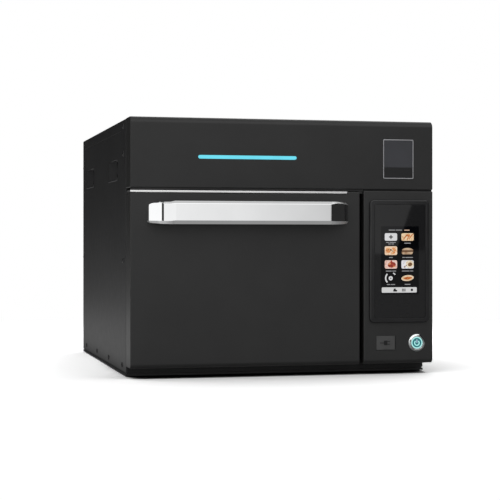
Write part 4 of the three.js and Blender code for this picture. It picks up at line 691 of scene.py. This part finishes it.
# Bezel: a raised frame with a soft outer edge and a step down to the glass
BEZEL_RADIUS = 7
BEZEL_SHRINK = 2.0
BEZEL_DROP = 2.2
BEZEL_STEPS = 6
COLLAR = 1.9
GLASS_GAP = 0.3
BEZEL_FRONT = span("touch_bezel")[0].y
GLASS_FRONT, GLASS_BACK = (corner.y for corner in span("touch_glass"))


def bezel_ring(turn):
    """The outer edge's outline, from its side to its front face."""
    shrink = BEZEL_SHRINK * (1 - cos(turn))
    y = BEZEL_FRONT + BEZEL_DROP - BEZEL_DROP * sin(turn)
    return [(u, y, v) for u, v in rectangle(*grown(bezel_face, -shrink), BEZEL_RADIUS - shrink, 8)]


slope = [bezel_ring(pi / 2 * k / BEZEL_STEPS) for k in range(BEZEL_STEPS + 1)]
foot = [(u, -0.3, v) for u, y, v in slope[0]]
bezel = combined(loft([foot, *slope]), [slab(grown(glass_face, COLLAR), -1, 8, 4)], "UNION")
bezel = combined(bezel, [
    slab(grown(glass_face, GLASS_GAP), BEZEL_FRONT - 5, GLASS_BACK + GLASS_GAP, 3.2, 8),
    slab(grown(glass_face, -3), -6, 12),
])
soften(bezel, 0.35, lambda m: abs(m.y - BEZEL_FRONT) < 0.01, angle=60)
add("bezel", bezel, bezel_plastic, "touch_bezel")
pane = slab(glass_face, GLASS_FRONT, GLASS_BACK, 3, 10)
soften(pane, 0.4, ahead_of(GLASS_FRONT + 0.01), 3)
add("glass_pane", pane, glass, "touch_glass")

# Display, with places measured from the oven's left edge, in layers that lie on one another
EDGE = -253
FILM = 0.02
INK = GLASS_FRONT - 3 * FILM
ON_GLASS = (INK, GLASS_FRONT)
ON_TILE = (INK - FILM, INK)
ON_PICTURE = (INK - 2 * FILM, INK - FILM)
SIGNS = (INK - 2 * FILM, INK)
COLUMNS = [(418.9, 440.1), (447.4, 468.6)]
ROWS = [(217.0, 229.3), (193.8, 208.0), (171.7, 185.3), (149.3, 163.2)]
TILE_RADIUS = 2.4


def printed(name, outlines, material, layer=ON_GLASS):
    add(name, merged([prism(outline, "Y", *layer) for outline in outlines]), material)


def screen_rect(w0, w1, z0, z1, radius=0.0):
    return rectangle(EDGE + w0, EDGE + w1, z0, z1, radius, 5)


def tile(across, down):
    return screen_rect(*COLUMNS[across], *ROWS[down], TILE_RADIUS)


def tile_middle(across, down):
    return EDGE + sum(COLUMNS[across]) / 2, sum(ROWS[down]) / 2


def oval(at, across, up, half_width, half_height, tilt=0.0, steps=24):
    """An ellipse placed from a tile's middle, turned by the tilt."""
    x, z = at[0] + across, at[1] + up
    c, s = cos(tilt), sin(tilt)
    turn = 2 * pi / steps
    points = [(half_width * cos(turn * i), half_height * sin(turn * i)) for i in range(steps)]
    return [(x + c * u - s * v, z + s * u + c * v) for u, v in points]


printed("screen_area", [screen_rect(412.6, 477.4, 129.6, 240.6, 1.0)], screen_black, (GLASS_FRONT - FILM, GLASS_FRONT))
for spot, picture in {
    (1, 0): (330, 3.1, (196, 140, 92), (236, 204, 162), (244, 220, 186)),
    (0, 1): (300, 7.7, (204, 150, 110), (240, 202, 166), (246, 224, 198)),
    (0, 2): (260, 1.9, (206, 150, 136), (232, 192, 178), (240, 214, 204)),
    (1, 2): (300, 5.3, (178, 176, 180), (224, 222, 226), (240, 240, 244)),
}.items():
    printed("tile_%d_%d" % spot, [tile(*spot)], served("picture_%d_%d" % spot, *picture))

# Plain blobs on the pictures, each with its place, half sizes and tilt
roast = served("roast", 300, 6.2, (120, 50, 18), (186, 96, 40), (214, 132, 66))
crust = served("crust", 300, 2.8, (188, 104, 50), (222, 146, 88), (236, 178, 122))
dark_red = served("dark_red", 260, 8.4, (96, 26, 16), (150, 50, 34), (186, 84, 62))
cream = served("cream", 300, 3.9, (206, 182, 144), (232, 214, 184), (240, 228, 206))
umber = served("umber", 300, 7.1, (84, 54, 30), (128, 90, 52), (160, 122, 84))
strips = [
    (across, up, 3.0, 0.95, 0.95) for across, up in (
        (-5.2, -1.6), (-2.2, 1.8), (0.4, -2.6), (2.0, 2.2), (4.4, -0.6), (7.2, 2.6),
    )
]
for name, material, spot, layer, blobs in [
    ("strips", roast, (1, 0), ON_TILE, [*strips, (1.0, 2.4, 3.6, 1.6, -0.4)]),
    ("crusts", crust, (0, 1), ON_TILE, [
        (-4.6, 0.6, 4.2, 4.4, 0.4), (5.4, 2.2, 4.0, 2.4, -0.7), (4.6, -3.4, 3.4, 1.8, 0.6),
    ]),
    ("crust_spots", umber, (0, 1), ON_PICTURE, [
        (-0.4, 1.2, 1.8, 1.5, 0.5), (2.6, -0.6, 2.0, 0.9, -0.6), (-4.4, 1.6, 1.5, 0.8),
    ]),
    ("red_heap", dark_red, (0, 2), ON_TILE, [(1.4, -0.6, 7.0, 4.6, 0.1), (0.8, 4.2, 1.6, 2.4)]),
    ("heap_lights", crust, (0, 2), ON_PICTURE, [(-2.6, 0.8, 2.4, 1.3, 0.5), (5.4, -3.6, 2.2, 0.9, 0.3)]),
    ("cream_ring", cream, (1, 2), ON_TILE, [(3.6, 0.4, 7.0, 6.0)]),
    ("umber_fill", umber, (1, 2), ON_PICTURE, [(4.2, 0.0, 4.0, 3.2, 0.3)]),
    ("umber_dots", umber, (1, 2), ON_PICTURE, [(-5.0, -4.0, 1.8, 0.9, 0.6), (-2.2, -1.8, 1.2, 0.8)]),
]:
    printed(name, [oval(tile_middle(*spot), *blob) for blob in blobs], material, layer)

# A plus sign
ARM, ARM_HALF = 3.4, 0.9
add_x, add_z = tile_middle(0, 0)
printed("tile_add", [tile(0, 0)], tile_white)
printed("sign_add", [
    rectangle(add_x - u, add_x + u, add_z - v, add_z + v) for u, v in ((ARM, ARM_HALF), (ARM_HALF, ARM))
], icon_dark, SIGNS)

# A stacked bun and a long loaf, as plain generic shapes
bun = served("bun_crust", 160, 2.2, (112, 84, 60), (168, 134, 104), (204, 178, 148))
filling = served("bun_filling", 300, 9.1, (52, 30, 16), (96, 58, 30), (70, 52, 30))
loaf = served("loaf_crust", 190, 4.4, (176, 136, 100), (226, 194, 152), (238, 216, 190))
BUN_HALF, BUN_RISE, BUN_STEPS = 9.2, 3.5, 14
bun_x, bun_z = tile_middle(1, 1)
dome = [
    (bun_x + BUN_HALF * cos(pi * i / BUN_STEPS), bun_z + 0.9 + BUN_RISE * sin(pi * i / BUN_STEPS))
    for i in range(BUN_STEPS + 1)
]
printed("tile_bun_top", [dome + [(bun_x - BUN_HALF, bun_z + 0.5), (bun_x + BUN_HALF, bun_z + 0.5)]], bun)
printed("tile_bun_filling", [rectangle(bun_x - 10.0, bun_x + 10.0, bun_z - 2.0, bun_z + 0.6, 0.8, 4)], filling)
bun_base = rectangle(bun_x - 10.0, bun_x + 9.0, bun_z - 6.0, bun_z - 1.9, [2.6, 2.6, 0.3, 0.3], 5)
printed("tile_bun_base", [bun_base], bun)
loaf_x, loaf_z = tile_middle(1, 3)
printed("tile_loaf", [[
    (loaf_x + 10.6 * cos(a) - 1.2 * sin(a), loaf_z + 4.6 * sin(a) + 1.4 * cos(a))
    for a in [2 * pi * i / 28 for i in range(28)]
]], loaf)
printed("tile_loaf_filling", [oval((loaf_x, loaf_z), 0.4, -0.2, 7.4, 2.3, 0.1)], roast, SIGNS)

# A plain round dial sign
dial_x, dial_z = tile_middle(0, 3)
hub = (dial_x - 0.4, dial_z - 0.2)
printed("sign_dial", [
    circle(*hub, 3.5, 28), arc_band(dial_x, dial_z, 7.9, 10.2, 132, 228), arc_band(dial_x, dial_z, 8.2, 10.0, 36, 66),
], tile_white)
printed("sign_dial_hub", [circle(*hub, 1.1, 20)], icon_dark, SIGNS)

# Short strokes in place of words
WORD_GAP = 1.0
WORD_RISE = 0.65
STROKES = [
    (425.0, 429.4, 211.2, 212.4, 0.3), (430.4, 434.6, 211.2, 212.4, 0.3), (421.2, 426.4, 213.6, 214.8, 0.3),
    (427.4, 437.6, 213.6, 214.8, 0.3), (425.6, 436.6, 233.7, 235.0, 0.4), (437.6, 448.6, 233.7, 235.0, 0.4),
]
labels = [screen_rect(*stroke) for stroke in STROKES]
for (foot_z, _), drop, words in zip(ROWS, (4.0, 4.0, 4.0, 3.4), [
    ([], [11.0]), ([6.4], [4.4, 12.6]), ([10.0, 6.4], [13.0, 5.4]), ([6.0, 7.0], [9.8]),
]):
    level = foot_z - drop
    for edges, widths in zip(COLUMNS, words):
        start = sum(edges) / 2 - (sum(widths) + WORD_GAP * (len(widths) - 1)) / 2
        for width in widths:
            labels.append(screen_rect(start, start + width, level - WORD_RISE, level + WORD_RISE, 0.3))
            start += width + WORD_GAP
printed("labels", labels, label_light)
printed("label_mode", [screen_rect(452.4, 461.4, 233.4, 235.0, 0.4)], label_warm)
printed("menu_bar", [screen_rect(413.8, 473.8, 132.6, 141.3, 1.4)], bar_white)
printed("menu_signs", [
    screen_rect(433.4, 440.2, 134.4, 137.0, 0.5), screen_rect(434.2, 437.8, 136.9, 139.2, 0.5),
    circle(EDGE + 465.4, 136.9, 2.1, 20),
], icon_dark, SIGNS)
printed("menu_grid", [
    screen_rect(448.4 + 2.2 * i, 450.1 + 2.2 * i, 134.5 + 1.6 * j, 135.8 + 1.6 * j) for i in range(3) for j in range(3)
], icon_grey, SIGNS)

# Badge plate, left bare
BADGE = (164.5, 216.3, 318.0, 381.8)
BADGE_SPLIT = 336.5
BORDER = 1.3
PLATE_PROUD = 0.9
border = combined(slab(BADGE, -BORDER, 0, 1.6, 5), [slab(grown(BADGE, -BORDER), CUT_START, 5, 0.6, 4)])
soften(border, 0.25, ahead_of(-1.2))
add("badge_border", border, silver)
left, right, low, high = grown(BADGE, -1.35)
plate = slab((left, right, BADGE_SPLIT, high), -PLATE_PROUD, 0, [0, 0, 0.5, 0.5], 4)
add("badge_plate", plate, badge_upper)
band = slab((left, right, low, BADGE_SPLIT - 0.1), -PLATE_PROUD, 0, [0.5, 0.5, 0, 0], 4)
add("badge_band", band, badge_lower)

# USB cover: a flap with a barrel, a finger notch and a plain plug sign, in a pocket with painted shade in its gap
HINGE = (USB_HINGE, usb[3] - 1.5)
GAP_SHADE_FRONT, GAP_SHADE_BACK = 0.25, 2.9
usb_x = (usb[0] + usb[1]) / 2
# Black rubber strips behind the gap at the right of the flap and below it: painted shade in the gap
gap_shade = [
    block(usb[1] - 0.3, usb[1] + 0.85, GAP_SHADE_FRONT, GAP_SHADE_BACK, usb[2] - 0.65, usb[3] - 0.05),
    block(usb[0] + 0.05, usb[1] - 0.31, GAP_SHADE_FRONT, GAP_SHADE_BACK, usb[2] - 0.65, usb[2] + 0.3),
]
add("usb_gap_shade", merged(gap_shade), rubber)
flap = slab((usb[0] + 0.6, usb[1] - 0.6, usb[2] + 0.6, usb[3] - 1.6), 0.4, 2.4, 0.5, 3)
barrel = prism(circle(*HINGE, 1.2, 24), "X", usb[0] + 0.3, usb[1] - 0.3)
pins = prism(circle(*HINGE, 0.7, 20), "X", *cover_face[:2])
notch = lathe([(0, -0.4), (3.2, -0.4), (3.2, 1.0), (0, 1.0)], (usb_x, 0, usb[2] - 0.6), sides=32)
cover = combined(combined(flap, [barrel, pins], "UNION"), [notch])
soften(cover, 0.2, lambda m: m.y < 0.41 and m.z < usb[3] - 3)
add("usb_flap_cover", cover, grey_plastic, "usb_cover", "usb_flap")
sign_z = (usb[2] + usb[3]) / 2 - 0.2
plug_sign = [
    rectangle(usb_x + x0, usb_x + x1, sign_z + z0, sign_z + z1, radii, steps) for x0, x1, z0, z1, radii, steps in (
        (-9.6, -3.4, -0.7, 0.7, 0.3, 4), (-3.2, 3.0, -3.8, 3.8, [1.8, 0.4, 0.4, 1.8], 5),
        (3.2, 7.6, 1.5, 2.9, 0.3, 4), (3.2, 7.6, -2.9, -1.5, 0.3, 4),
    )
]
plug_marks = merged([prism(outline, "Y", 0.34, 0.6) for outline in plug_sign])
add("usb_sign", plug_marks, icon_dark, body="usb_flap")

# Power button: profiles of (radius, depth)
ring_profile = [
    (11.0, -1.5), (11.05, -1.9), (11.25, -2.0), (11.5, -1.95), (12.2, -1.35), (13.0, -0.8), (13.8, -0.35), (13.9, -0.2),
    (13.9, -0.05), (12.5, -0.05), (12.5, 2.3),
    (16.0, 2.3), (16.0, 6.3), (12.5, 6.3), (12.5, 39.0), (0, 39.0), (0, 13.0), (11.0, 13.0),
]
cap_profile = [
    (0, 0.3), (9.6, 0.3), (9.6, -1.1), (9.8, -1.2), (10.3, -1.05), (10.7, -0.8), (10.8, -0.5), (10.8, 7.8), (0, 7.8),
]
disc_profile = [(0, -0.5), (4.0, -0.62), (7.2, -1.1), (7.6, -1.2), (7.7, -1.1), (7.7, 0.25), (0, 0.25)]
halo_profile = [(7.8, -1.05), (8.0, -1.25), (9.3, -1.25), (9.5, -1.05), (9.5, 0.0), (7.8, 0.0)]
power_arc = prism(arc_band(button.x, button.z - 0.4, 3.0, 4.8, 128, 412, 40), "Y", -1.02, -0.5)
power_bar = slab((button.x - 0.9, button.x + 0.9, button.z - 0.4, button.z + 5.4), -1.05, -0.5, 0.5, 4)
add("button_ring", lathe(ring_profile, button), ring_metal, "power_switch_body")
for name, mesh, material, slot, replaced in [
    ("button_cap", lathe(cap_profile, button), steel, "brushed_steel", "power_button_cap"),
    ("button_disc", lathe(disc_profile, button), button_face, "cyan_light", ""),
    ("button_halo", lathe(halo_profile, button), ring_light, "cyan_light", "power_button_light_ring"),
    ("power_sign", power_arc, ring_light, "cyan_light", ""),
    ("power_bar", power_bar, bar_light, "cyan_light", ""),
]:
    add(name, mesh, material, replaced, "power_button")

# Door
DOOR_WALL = 1.5
BOLT_HOLE = 2.8
HINGE_SLOT = 2.3
door_face = face_of("door_outer_shell")
door_left, _, door_foot, door_top = door_face
trim_low, trim_high = span("door_trim_strip")
shell = fascia(door_face, FOOT_RADIUS, SEAM_RADIUS, DOOR_WALL)
shell = combined(shell, [block(door_left + 1, trim_high.x + 1.5, 1.2, 35.5, door_top - 5.8, door_top - 0.7)], "UNION")
cuts = [block(trim_low.x - 5, trim_high.x + 0.3, CUT_START, trim_high.y + 0.3, door_top - 4.3, door_top + 5)]
for side in ("left", "right"):
    x, _, z = middle(f"handle_bolt_{side}")
    cuts.append(prism(circle(x, z, BOLT_HOLE, 24), "Y", -3, 5))
for side in ("left", "right"):
    x = middle(f"hinge_pin_{side}")[0]
    cuts.append(block(x - HINGE_SLOT, x + HINGE_SLOT, 15.7, 60, door_foot - 5, 32.3))
add("door_skin", combined(shell, cuts), front_coat, "door_outer_shell", "door")
strip = prism(rectangle(trim_low.x, trim_high.x, trim_low.y, trim_high.y), "Z", trim_low.z, trim_high.z)
soften(strip, 0.5, ahead_of(1), 3)
add("door_trim", strip, trim_steel, "door_trim_strip", "door")

# Handle: a chamfered bar whose ends bend back to the door in quarter rounds
HANDLE_ARC = 38.7
HANDLE_THICK = 11
HANDLE_BACK = -0.3
HIGH_CHAMFER = 4.3
LOW_CHAMFER = 5.7
NARROWING = radians(12)
LATE_NARROWING = radians(24), radians(8)
END_FLAT = radians(40), radians(74)
CORNER_START = 0.55
CORNER_DROP = 3.0
ARC_STEPS = 28
handle_low, handle_high = span("door_handle")
top, bottom = handle_high.z, handle_low.z
handle_middle = (handle_low.x + handle_high.x) / 2
handle_flat = (handle_high.x - handle_low.x) / 2 - HANDLE_ARC


def handle_section(side, turn):
    """The bar's outline, with chamfers that narrow soon after the bend starts."""
    drop = 1 - cos(turn)
    share = min(turn / NARROWING, 1)
    low = bottom + 3.2 * drop
    if side < 0:
        late = min(max((turn - LATE_NARROWING[0]) / LATE_NARROWING[1], 0), 1)
        high = top - 1.6 * share - 1.6 * drop
        high_chamfer = HIGH_CHAMFER - 1.0 * share - 2.4 * late
    else:
        high = top - 4.5 * drop
        high_chamfer = HIGH_CHAMFER - 1.6 * share
    low_chamfer = LOW_CHAMFER - 0.8 * share - 2.1 * drop
    chamfer = 3 - 2 * drop
    corners = [
        (0, high - high_chamfer), (0, low + low_chamfer), (chamfer, low), (HANDLE_THICK, low), (HANDLE_THICK, high),
        (chamfer, high),
    ]
    return rounded(corners, [1.6 - 0.8 * share, 0.6, 0.6, 2, 2, 0.8])


def handle_ring(side, turn, back=0):
    bend = handle_middle + side * (handle_flat - back)
    ring = []
    for inward, z in handle_section(side, turn):
        radius = HANDLE_ARC - inward
        ring.append((bend + side * sin(turn) * radius, HANDLE_BACK - cos(turn) * radius, z))
    return ring


def lowered(ring, amount):
    """The ring with its upper half moved down."""
    return [(x, y, z - amount if z > (top + bottom) / 2 else z) for x, y, z in ring]


turns = [0, NARROWING / 2] + [NARROWING + (pi / 2 - NARROWING) * i / ARC_STEPS for i in range(ARC_STEPS + 1)]
first, last = (handle_ring(-1, turn) for turn in END_FLAT)
end_face = []
for share in (0, 0.02, CORNER_START, 0.7, 0.82, 0.91, 0.98, 1):
    bow = max(share - CORNER_START, 0) / (1 - CORNER_START)
    ring = [tuple(Vector(p).lerp(Vector(q), share)) for p, q in zip(first, last)]
    end_face.append(lowered(ring, CORNER_DROP * (1 - sqrt(max(1 - bow * bow, 0)))))
left_rings = [
    handle_ring(-1, 0, 1.5), *[handle_ring(-1, t) for t in turns if t < END_FLAT[0] - 0.03], *end_face,
    *[lowered(handle_ring(-1, t), CORNER_DROP) for t in turns if t > END_FLAT[1] + 0.03],
]
rings = left_rings[::-1] + [handle_ring(1, 0, 1.5)] + [handle_ring(1, t) for t in turns]
add("handle_bar", loft(rings), handle_chrome, "door_handle", "door", 40)

# Sheet metal with softened edges, copied from its CAD pieces
SHEET_EDGE = 0.35
SIDES = (("left", -1), ("right", 1))


def at_hold(m):
    return 300 < m.z < 360 and 120 < m.y < 560


for side, outer in SIDES:
    panel = copy_of(f"{side}_side_panel")
    face = outer * HALF_WIDTH
    soften(panel, 1.1, lambda m: abs(m.x - face) < 0.05 and at_hold(m), 4)
    soften(panel, SHEET_EDGE, lambda m: abs(m.x - face) < 0.05 and not at_hold(m))
    soften(panel, 0.8, lambda m: 229 < abs(m.x) < 231 and 310 < m.z < 360)
    add(f"{side}_side", panel, cabinet_coat, f"{side}_side_panel")


def softened(name, node, where=lambda m: True):
    add(name, soften(copy_of(node), SHEET_EDGE, where), cabinet_coat, node)


softened("cover", "top_cover")
softened("front_surround", "front_frame", lambda m: not (abs(m.x) > HALF_WIDTH - 1 and m.y < 50))
seam_sides = [block(s * 248.4 - 1.2, s * 248.4 + 1.2, 44.6, 46.4, 32, 398) for s in (-1, 1)]
add("seam_liner", merged(seam_sides), rubber)
softened("rear_wall", "rear_panel")
softened("front_rail", "lower_front_rail")
softened("tray", "base_tray")
inner = soften(copy_of("door_inner_panel"), SHEET_EDGE)
add("door_inner", inner, stainless_x, "door_inner_panel", "door")

# Rolled rims of the hand-holds
RIM_RADIUS = 1.1
hold_low, hold_high = 317.35, 351.25
for side, outer in SIDES:
    rims = []
    for front in (138, 437):
        line = [
            (34, hold_high), (1.6, hold_high), (0.3, hold_high - 1.4), (-0.2, hold_high - 4.2), (-0.2, hold_low + 4.2),
            (0.3, hold_low + 1.4), (1.6, hold_low), (60, hold_low), (103, hold_low),
        ]
        rims.append(tube([(outer * HALF_WIDTH, front + y, z) for y, z in line], RIM_RADIUS))
    add(f"{side}_rims", merged(rims), cabinet_coat, angle=60)

# Screws along the side edges and across the back
SCREW_RADIUS = 4.3
SCREW_HEAD = 1.9
SCREW_STEPS = 6
SIDE_SCREWS = [(72, 401), (72, 357), (72, 185), (585, 358), (585, 186)] + [(y, 16.6) for y in (85, 240, 392, 542)]
REAR_SCREWS = [(-236, 398), (0, 398), (236, 398), (-236, 205), (236, 205)] + [(x, 16) for x in (-236, -80, 80, 236)]


def screw(place, direction):
    """A button-head screw with a hexagon socket; its head points along the direction."""
    angles = [pi / 2 * i / SCREW_STEPS for i in range(1, SCREW_STEPS + 1)]
    profile = [(0, 0)] + [(SCREW_RADIUS * sin(a), SCREW_HEAD - SCREW_HEAD * cos(a)) for a in angles]
    profile += [(SCREW_RADIUS, SCREW_HEAD + 0.3), (0, SCREW_HEAD + 0.3)]
    head = combined(lathe(profile, (0, 0, 0), sides=28), [prism(circle(0, 0, 1.3, 6), "Y", -1, 1.1)])
    head.transform(Matrix.Translation((0, -SCREW_HEAD, 0)))
    turn = Vector((0, -1, 0)).rotation_difference(Vector(direction)).to_matrix().to_4x4()
    head.transform(Matrix.Translation(place) @ turn)
    return head


rear_y = span("rear_panel")[1].y
screws = {
    side: [screw((outer * HALF_WIDTH, y, z), (outer, 0, 0)) for y, z in SIDE_SCREWS] for side, outer in SIDES
}
screws["rear"] = [screw((x, rear_y, z), (0, 1, 0)) for x, z in REAR_SCREWS]
for side, heads in screws.items():
    add(f"{side}_screws", merged(heads), black_screw)

# Feet and cable gland: profiles of (radius, height) and (radius, depth)
FOOT_PROFILE = [
    (0, 0), (18.6, 0), (19.4, 0.25), (19.9, 0.9), (19.9, 1.2), (4, 1.2), (4, 3.3), (7, 3.3), (4.4, 5.6), (0, 5.8),
]
for corner in ("left_front", "left_rear", "right_front", "right_rear"):
    x, y, _ = middle(f"foot_{corner}")
    add(f"pad_{corner}", lathe(FOOT_PROFILE, (x, y, 0), "Z", 48), rubber, f"foot_{corner}")
GLAND_PROFILE = [
    (5.5, 584.2), (9.9, 584.2), (9.9, 592.2), (14.6, 592.2), (14.6, 598.2), (9.9, 598.2), (9.9, 600.3), (14.4, 600.3),
    (14.8, 600.9), (14.8, 605.6), (14.2, 606.3), (10.6, 606.3), (10.2, 607.4), (10.2, 617.4), (9.4, 619.8),
    (7.6, 621.9), (6.2, 622.3), (5.5, 621.6),
]
PAST_FLAT = ((13.2, -12), (13.2, 12), (22, 12), (22, -12))
gland_x, _, gland_z = middle("cable_gland")
flats = []
for i in range(6):
    c, s = cos(pi / 3 * i), sin(pi / 3 * i)
    flats.append(prism([(gland_x + r * c + t * s, gland_z + r * s - t * c) for r, t in PAST_FLAT], "Y", 600.4, 620))
gland = combined(lathe(GLAND_PROFILE, (gland_x, 0, gland_z), sides=64), flats)
add("gland", gland, black_plastic, "cable_gland")

# Wire rack: a closed frame, rods across it and two stays under them
FRAME_ROD, CROSS_ROD, STAY_ROD = 2.5, 1.5, 2.0
RACK_CORNER = 9
CROSS_COUNT = 12
CROSS_RISE, STAY_DROP = 1.75, 0.4
rack_low, rack_high = span("wire_rack")
level = rack_low.z + FRAME_ROD
x0, x1 = rack_low.x + FRAME_ROD, rack_high.x - FRAME_ROD
y0, y1 = rack_low.y + FRAME_ROD, rack_high.y - FRAME_ROD
rods = [tube([(x, y, level) for x, y in rectangle(x0, x1, y0, y1, RACK_CORNER)], FRAME_ROD, 14, True)]
for i in range(CROSS_COUNT):
    y = y0 + (y1 - y0) * (i + 1) / (CROSS_COUNT + 1)
    rods.append(tube([(x, y, level + CROSS_RISE) for x in (x0, x1)], CROSS_ROD))
for x in (x0 + (x1 - x0) / 3, x0 + (x1 - x0) * 2 / 3):
    rods.append(tube([(x, y, level - STAY_DROP) for y in (y0, y1)], STAY_ROD))
add("rack_wires", merged(rods), chrome, "wire_rack", "rack", 50)

# Finishes of the CAD pieces that stay, found by the start of their names
for material, starts in (
    (board, ("status_light_board", "control_board")),
    (galvanised, ("lcd_module", "handle_bolt", "hinge_arm", "hinge_bracket", "waveguide", "magnetron", "hv_capacitor")),
    (steel, ("usb_socket", "latch_hook", "hinge_pin", "blower_shaft", "air_heater_coil")),
    (blanket, ("door_insulation", "cavity_insulation")),
    (stainless_x, ("door_choke", "blower_housing", "blower_wheel", "catalyst")),
    (stainless_y, ("cavity_liner", "upper_jet_plate", "lower_jet_plate")),
    (grey_plastic, ("interlock_switch",)),
    (black_plastic, ("cooling_fan",)),
    (iron, ("blower_motor", "hv_transformer")),
):
    for node in nodes:
        if node.startswith(starts):
            materials = nodes[node].data.materials
            materials.clear()
            materials.append(material)

# Floor, lights and background, in metres
GLOW_IN_FRONT = 0.21
GLOW_AT_FEET = 0.3
GLOW_BESIDE = 0.5
GLOW_AT_SIDE = 0.42
GLOW_BEHIND = 0.035
FLOOR_COLOR = 0.6
# The floor's colour to the camera rises from front to rear: painted light that makes up for the lamps reaching the back
# less
FLOOR_SEEN_FRONT = 1.55
FLOOR_SEEN_REAR = 2.17
FLOOR_HALF = 30.0
# Reach and ramp of the painted contact shadow on the floor
CONTACT_REACH = 0.35
CONTACT_STOPS = ((0.0, 0), (0.2, 0.02), (0.32, 0.17), (0.46, 0.62), (0.6, 0.79), (0.72, 0.92), (0.88, 1))
WORLD_LIGHT = 0.3
WORLD_MIRRORED = 0.024


def stage_plane(name, corners, material):
    mesh = bpy.data.meshes.new(name)
    mesh.from_pydata(corners, [], [tuple(range(len(corners)))])
    mesh.materials.append(material)
    obj = placed(name, mesh)
    return obj


def floor_material():
    """White to the camera with a painted contact shadow at the front; a glow set by place to reflections."""
    n = Surface("floor", bare=True)
    across, along, _ = n.split(n.place)
    distance = n.add("VectorMath", n.place, operation="LENGTH").outputs["Value"]

    # Painted contact shadow: a ramp on ambient occlusion darkens the floor's colour in front, and under and right of
    # the front part
    contact = n.add("AmbientOcclusion", samples=16, Distance=CONTACT_REACH).outputs["AO"]
    shade = n.ramp(contact, *[(at, grey(value)) for at, value in CONTACT_STOPS])
    below = n.product(n.ranged(across, -0.27, -0.24, 0, 1), n.ranged(along, -0.1, 0.1, 1, 0))
    where = n.math("MAXIMUM", n.ranged(along, -0.28, -0.16, 1, 0), below)
    bright = n.product(n.mixed(where, 1, shade), n.ranged(along, -0.42, 0.15, FLOOR_SEEN_FRONT, FLOOR_SEEN_REAR))
    near = n.add("BsdfDiffuse", Color=bright).outputs[0]
    far = n.add("Emission", Color=WHITE).outputs[0]
    seen = n.blend(n.ranged(distance, 0.75, 1.5, 0, 1), near, far)

    beside = n.product(n.ranged(across, -0.8, -1.2, 0, GLOW_BESIDE), n.ranged(distance, 1.5, 0.6, 0, 1))
    ahead = n.product(n.ranged(along, -0.48, -0.3, 1, 0.3), n.ranged(along, -1.3, -0.7, GLOW_IN_FRONT, GLOW_AT_FEET))
    at_side = n.product(n.ranged(across, -0.26, -0.32, 0, 1), n.ranged(along, 2.6, 1.2, GLOW_BEHIND, GLOW_AT_SIDE))
    glow = n.math("ADD", n.math("ADD", beside, ahead), at_side)
    mirrored = n.add("Emission", Color=WHITE, Strength=glow).outputs[0]

    plain_floor = n.add("BsdfDiffuse", Color=grey(FLOOR_COLOR)).outputs[0]
    paths = n.add("LightPath").outputs
    straight = n.math("MAXIMUM", paths["Is Camera Ray"], paths["Is Transmission Ray"])
    n.put(n.surface, n.blend(paths["Is Glossy Ray"], n.blend(straight, plain_floor, seen), mirrored))
    return n.material


floor_corners = [(x * FLOOR_HALF, y * FLOOR_HALF, 0) for x, y in ((-1, -1), (1, -1), (1, 1), (-1, 1))]
stage_plane("floor", floor_corners, floor_material())

RAMP_HALF = 3.0


def panel_light(name, corners, strength, stops=()):
    """A softbox: a glowing sheet that the camera doesn't see, with a ramp of strength across X."""
    n = Surface(name, bare=True)
    glow = n.add("Emission", Strength=strength)
    if stops:
        scaled = n.add("MapRange", Value=n.split(n.place)["X"], From_Min=-RAMP_HALF, From_Max=RAMP_HALF)
        shares = [((x + RAMP_HALF) / (2 * RAMP_HALF), grey(value)) for x, value in stops]
        n.put(glow.inputs["Color"], n.ramp(scaled.outputs["Result"], *shares))
    n.put(n.surface, glow.outputs[0])
    obj = stage_plane(name, corners, n.material)
    obj.visible_camera = False
    obj.visible_shadow = False


LEFT, FRONT, REAR, ROOF = -3.7, -3.3, 4.2, 3.1
panel_light(
    "front_softbox", [(-3.06, FRONT, 0.168), (1.23, FRONT, 0.168), (1.6, FRONT, 1.2), (-3.06, FRONT, 1.2)], 1.0,
    [(-3.0, 0.95), (0.2, 0.95), (0.36, 0.9), (0.65, 0.81), (0.96, 0.63), (1.25, 0.5)],
)
panel_light("high_softbox", [(-2.6, FRONT, 1.2), (3.2, FRONT, 1.2), (2.6, -1.6, ROOF), (-2.2, -1.6, ROOF)], 1.3)
panel_light("rear_high_softbox", [(0.2, 1.2, ROOF), (3.2, 1.2, ROOF), (4.2, REAR, ROOF), (0.4, REAR, ROOF)], 1.2)
panel_light("rear_softbox", [(0.4, REAR, 0.7), (4.2, REAR, 0.7), (4.2, REAR, ROOF), (0.4, REAR, ROOF)], 1.0)
panel_light("left_softbox", [(-3.4, -2.65, 0.0), (LEFT, 0.9, 0.0), (LEFT, 0.9, 2.0), (-3.4, -2.65, 2.4)], 1.05)
panel_light("left_strip", [(LEFT, 0.9, 0.31), (LEFT, 3.4, 0.31), (LEFT, 3.4, 0.42), (LEFT, 0.9, 0.36)], 1.0)
roof_corners = [(x, y, ROOF) for x, y in ((-2.4, -1.6), (1.3, -1.6), (3.1, -0.5), (3.1, 1.2), (-2.4, 1.2))]
panel_light("top_softbox", roof_corners, 1.0, [(-0.95, 1.3), (-0.75, 0.6), (1.3, 0.6), (1.5, 1.2)])

world = bpy.data.worlds.new("world")
n = Nodes(world, "OutputWorld")
lit, mirrored, seen = (
    n.add("Background", Color=WHITE, Strength=strength).outputs[0] for strength in (WORLD_LIGHT, WORLD_MIRRORED, 1)
)
paths = n.add("LightPath").outputs
straight = n.math("MAXIMUM", paths["Is Camera Ray"], paths["Is Transmission Ray"])
n.put(n.surface, n.blend(straight, n.blend(paths["Is Glossy Ray"], lit, mirrored), seen))
bpy.context.scene.world = world
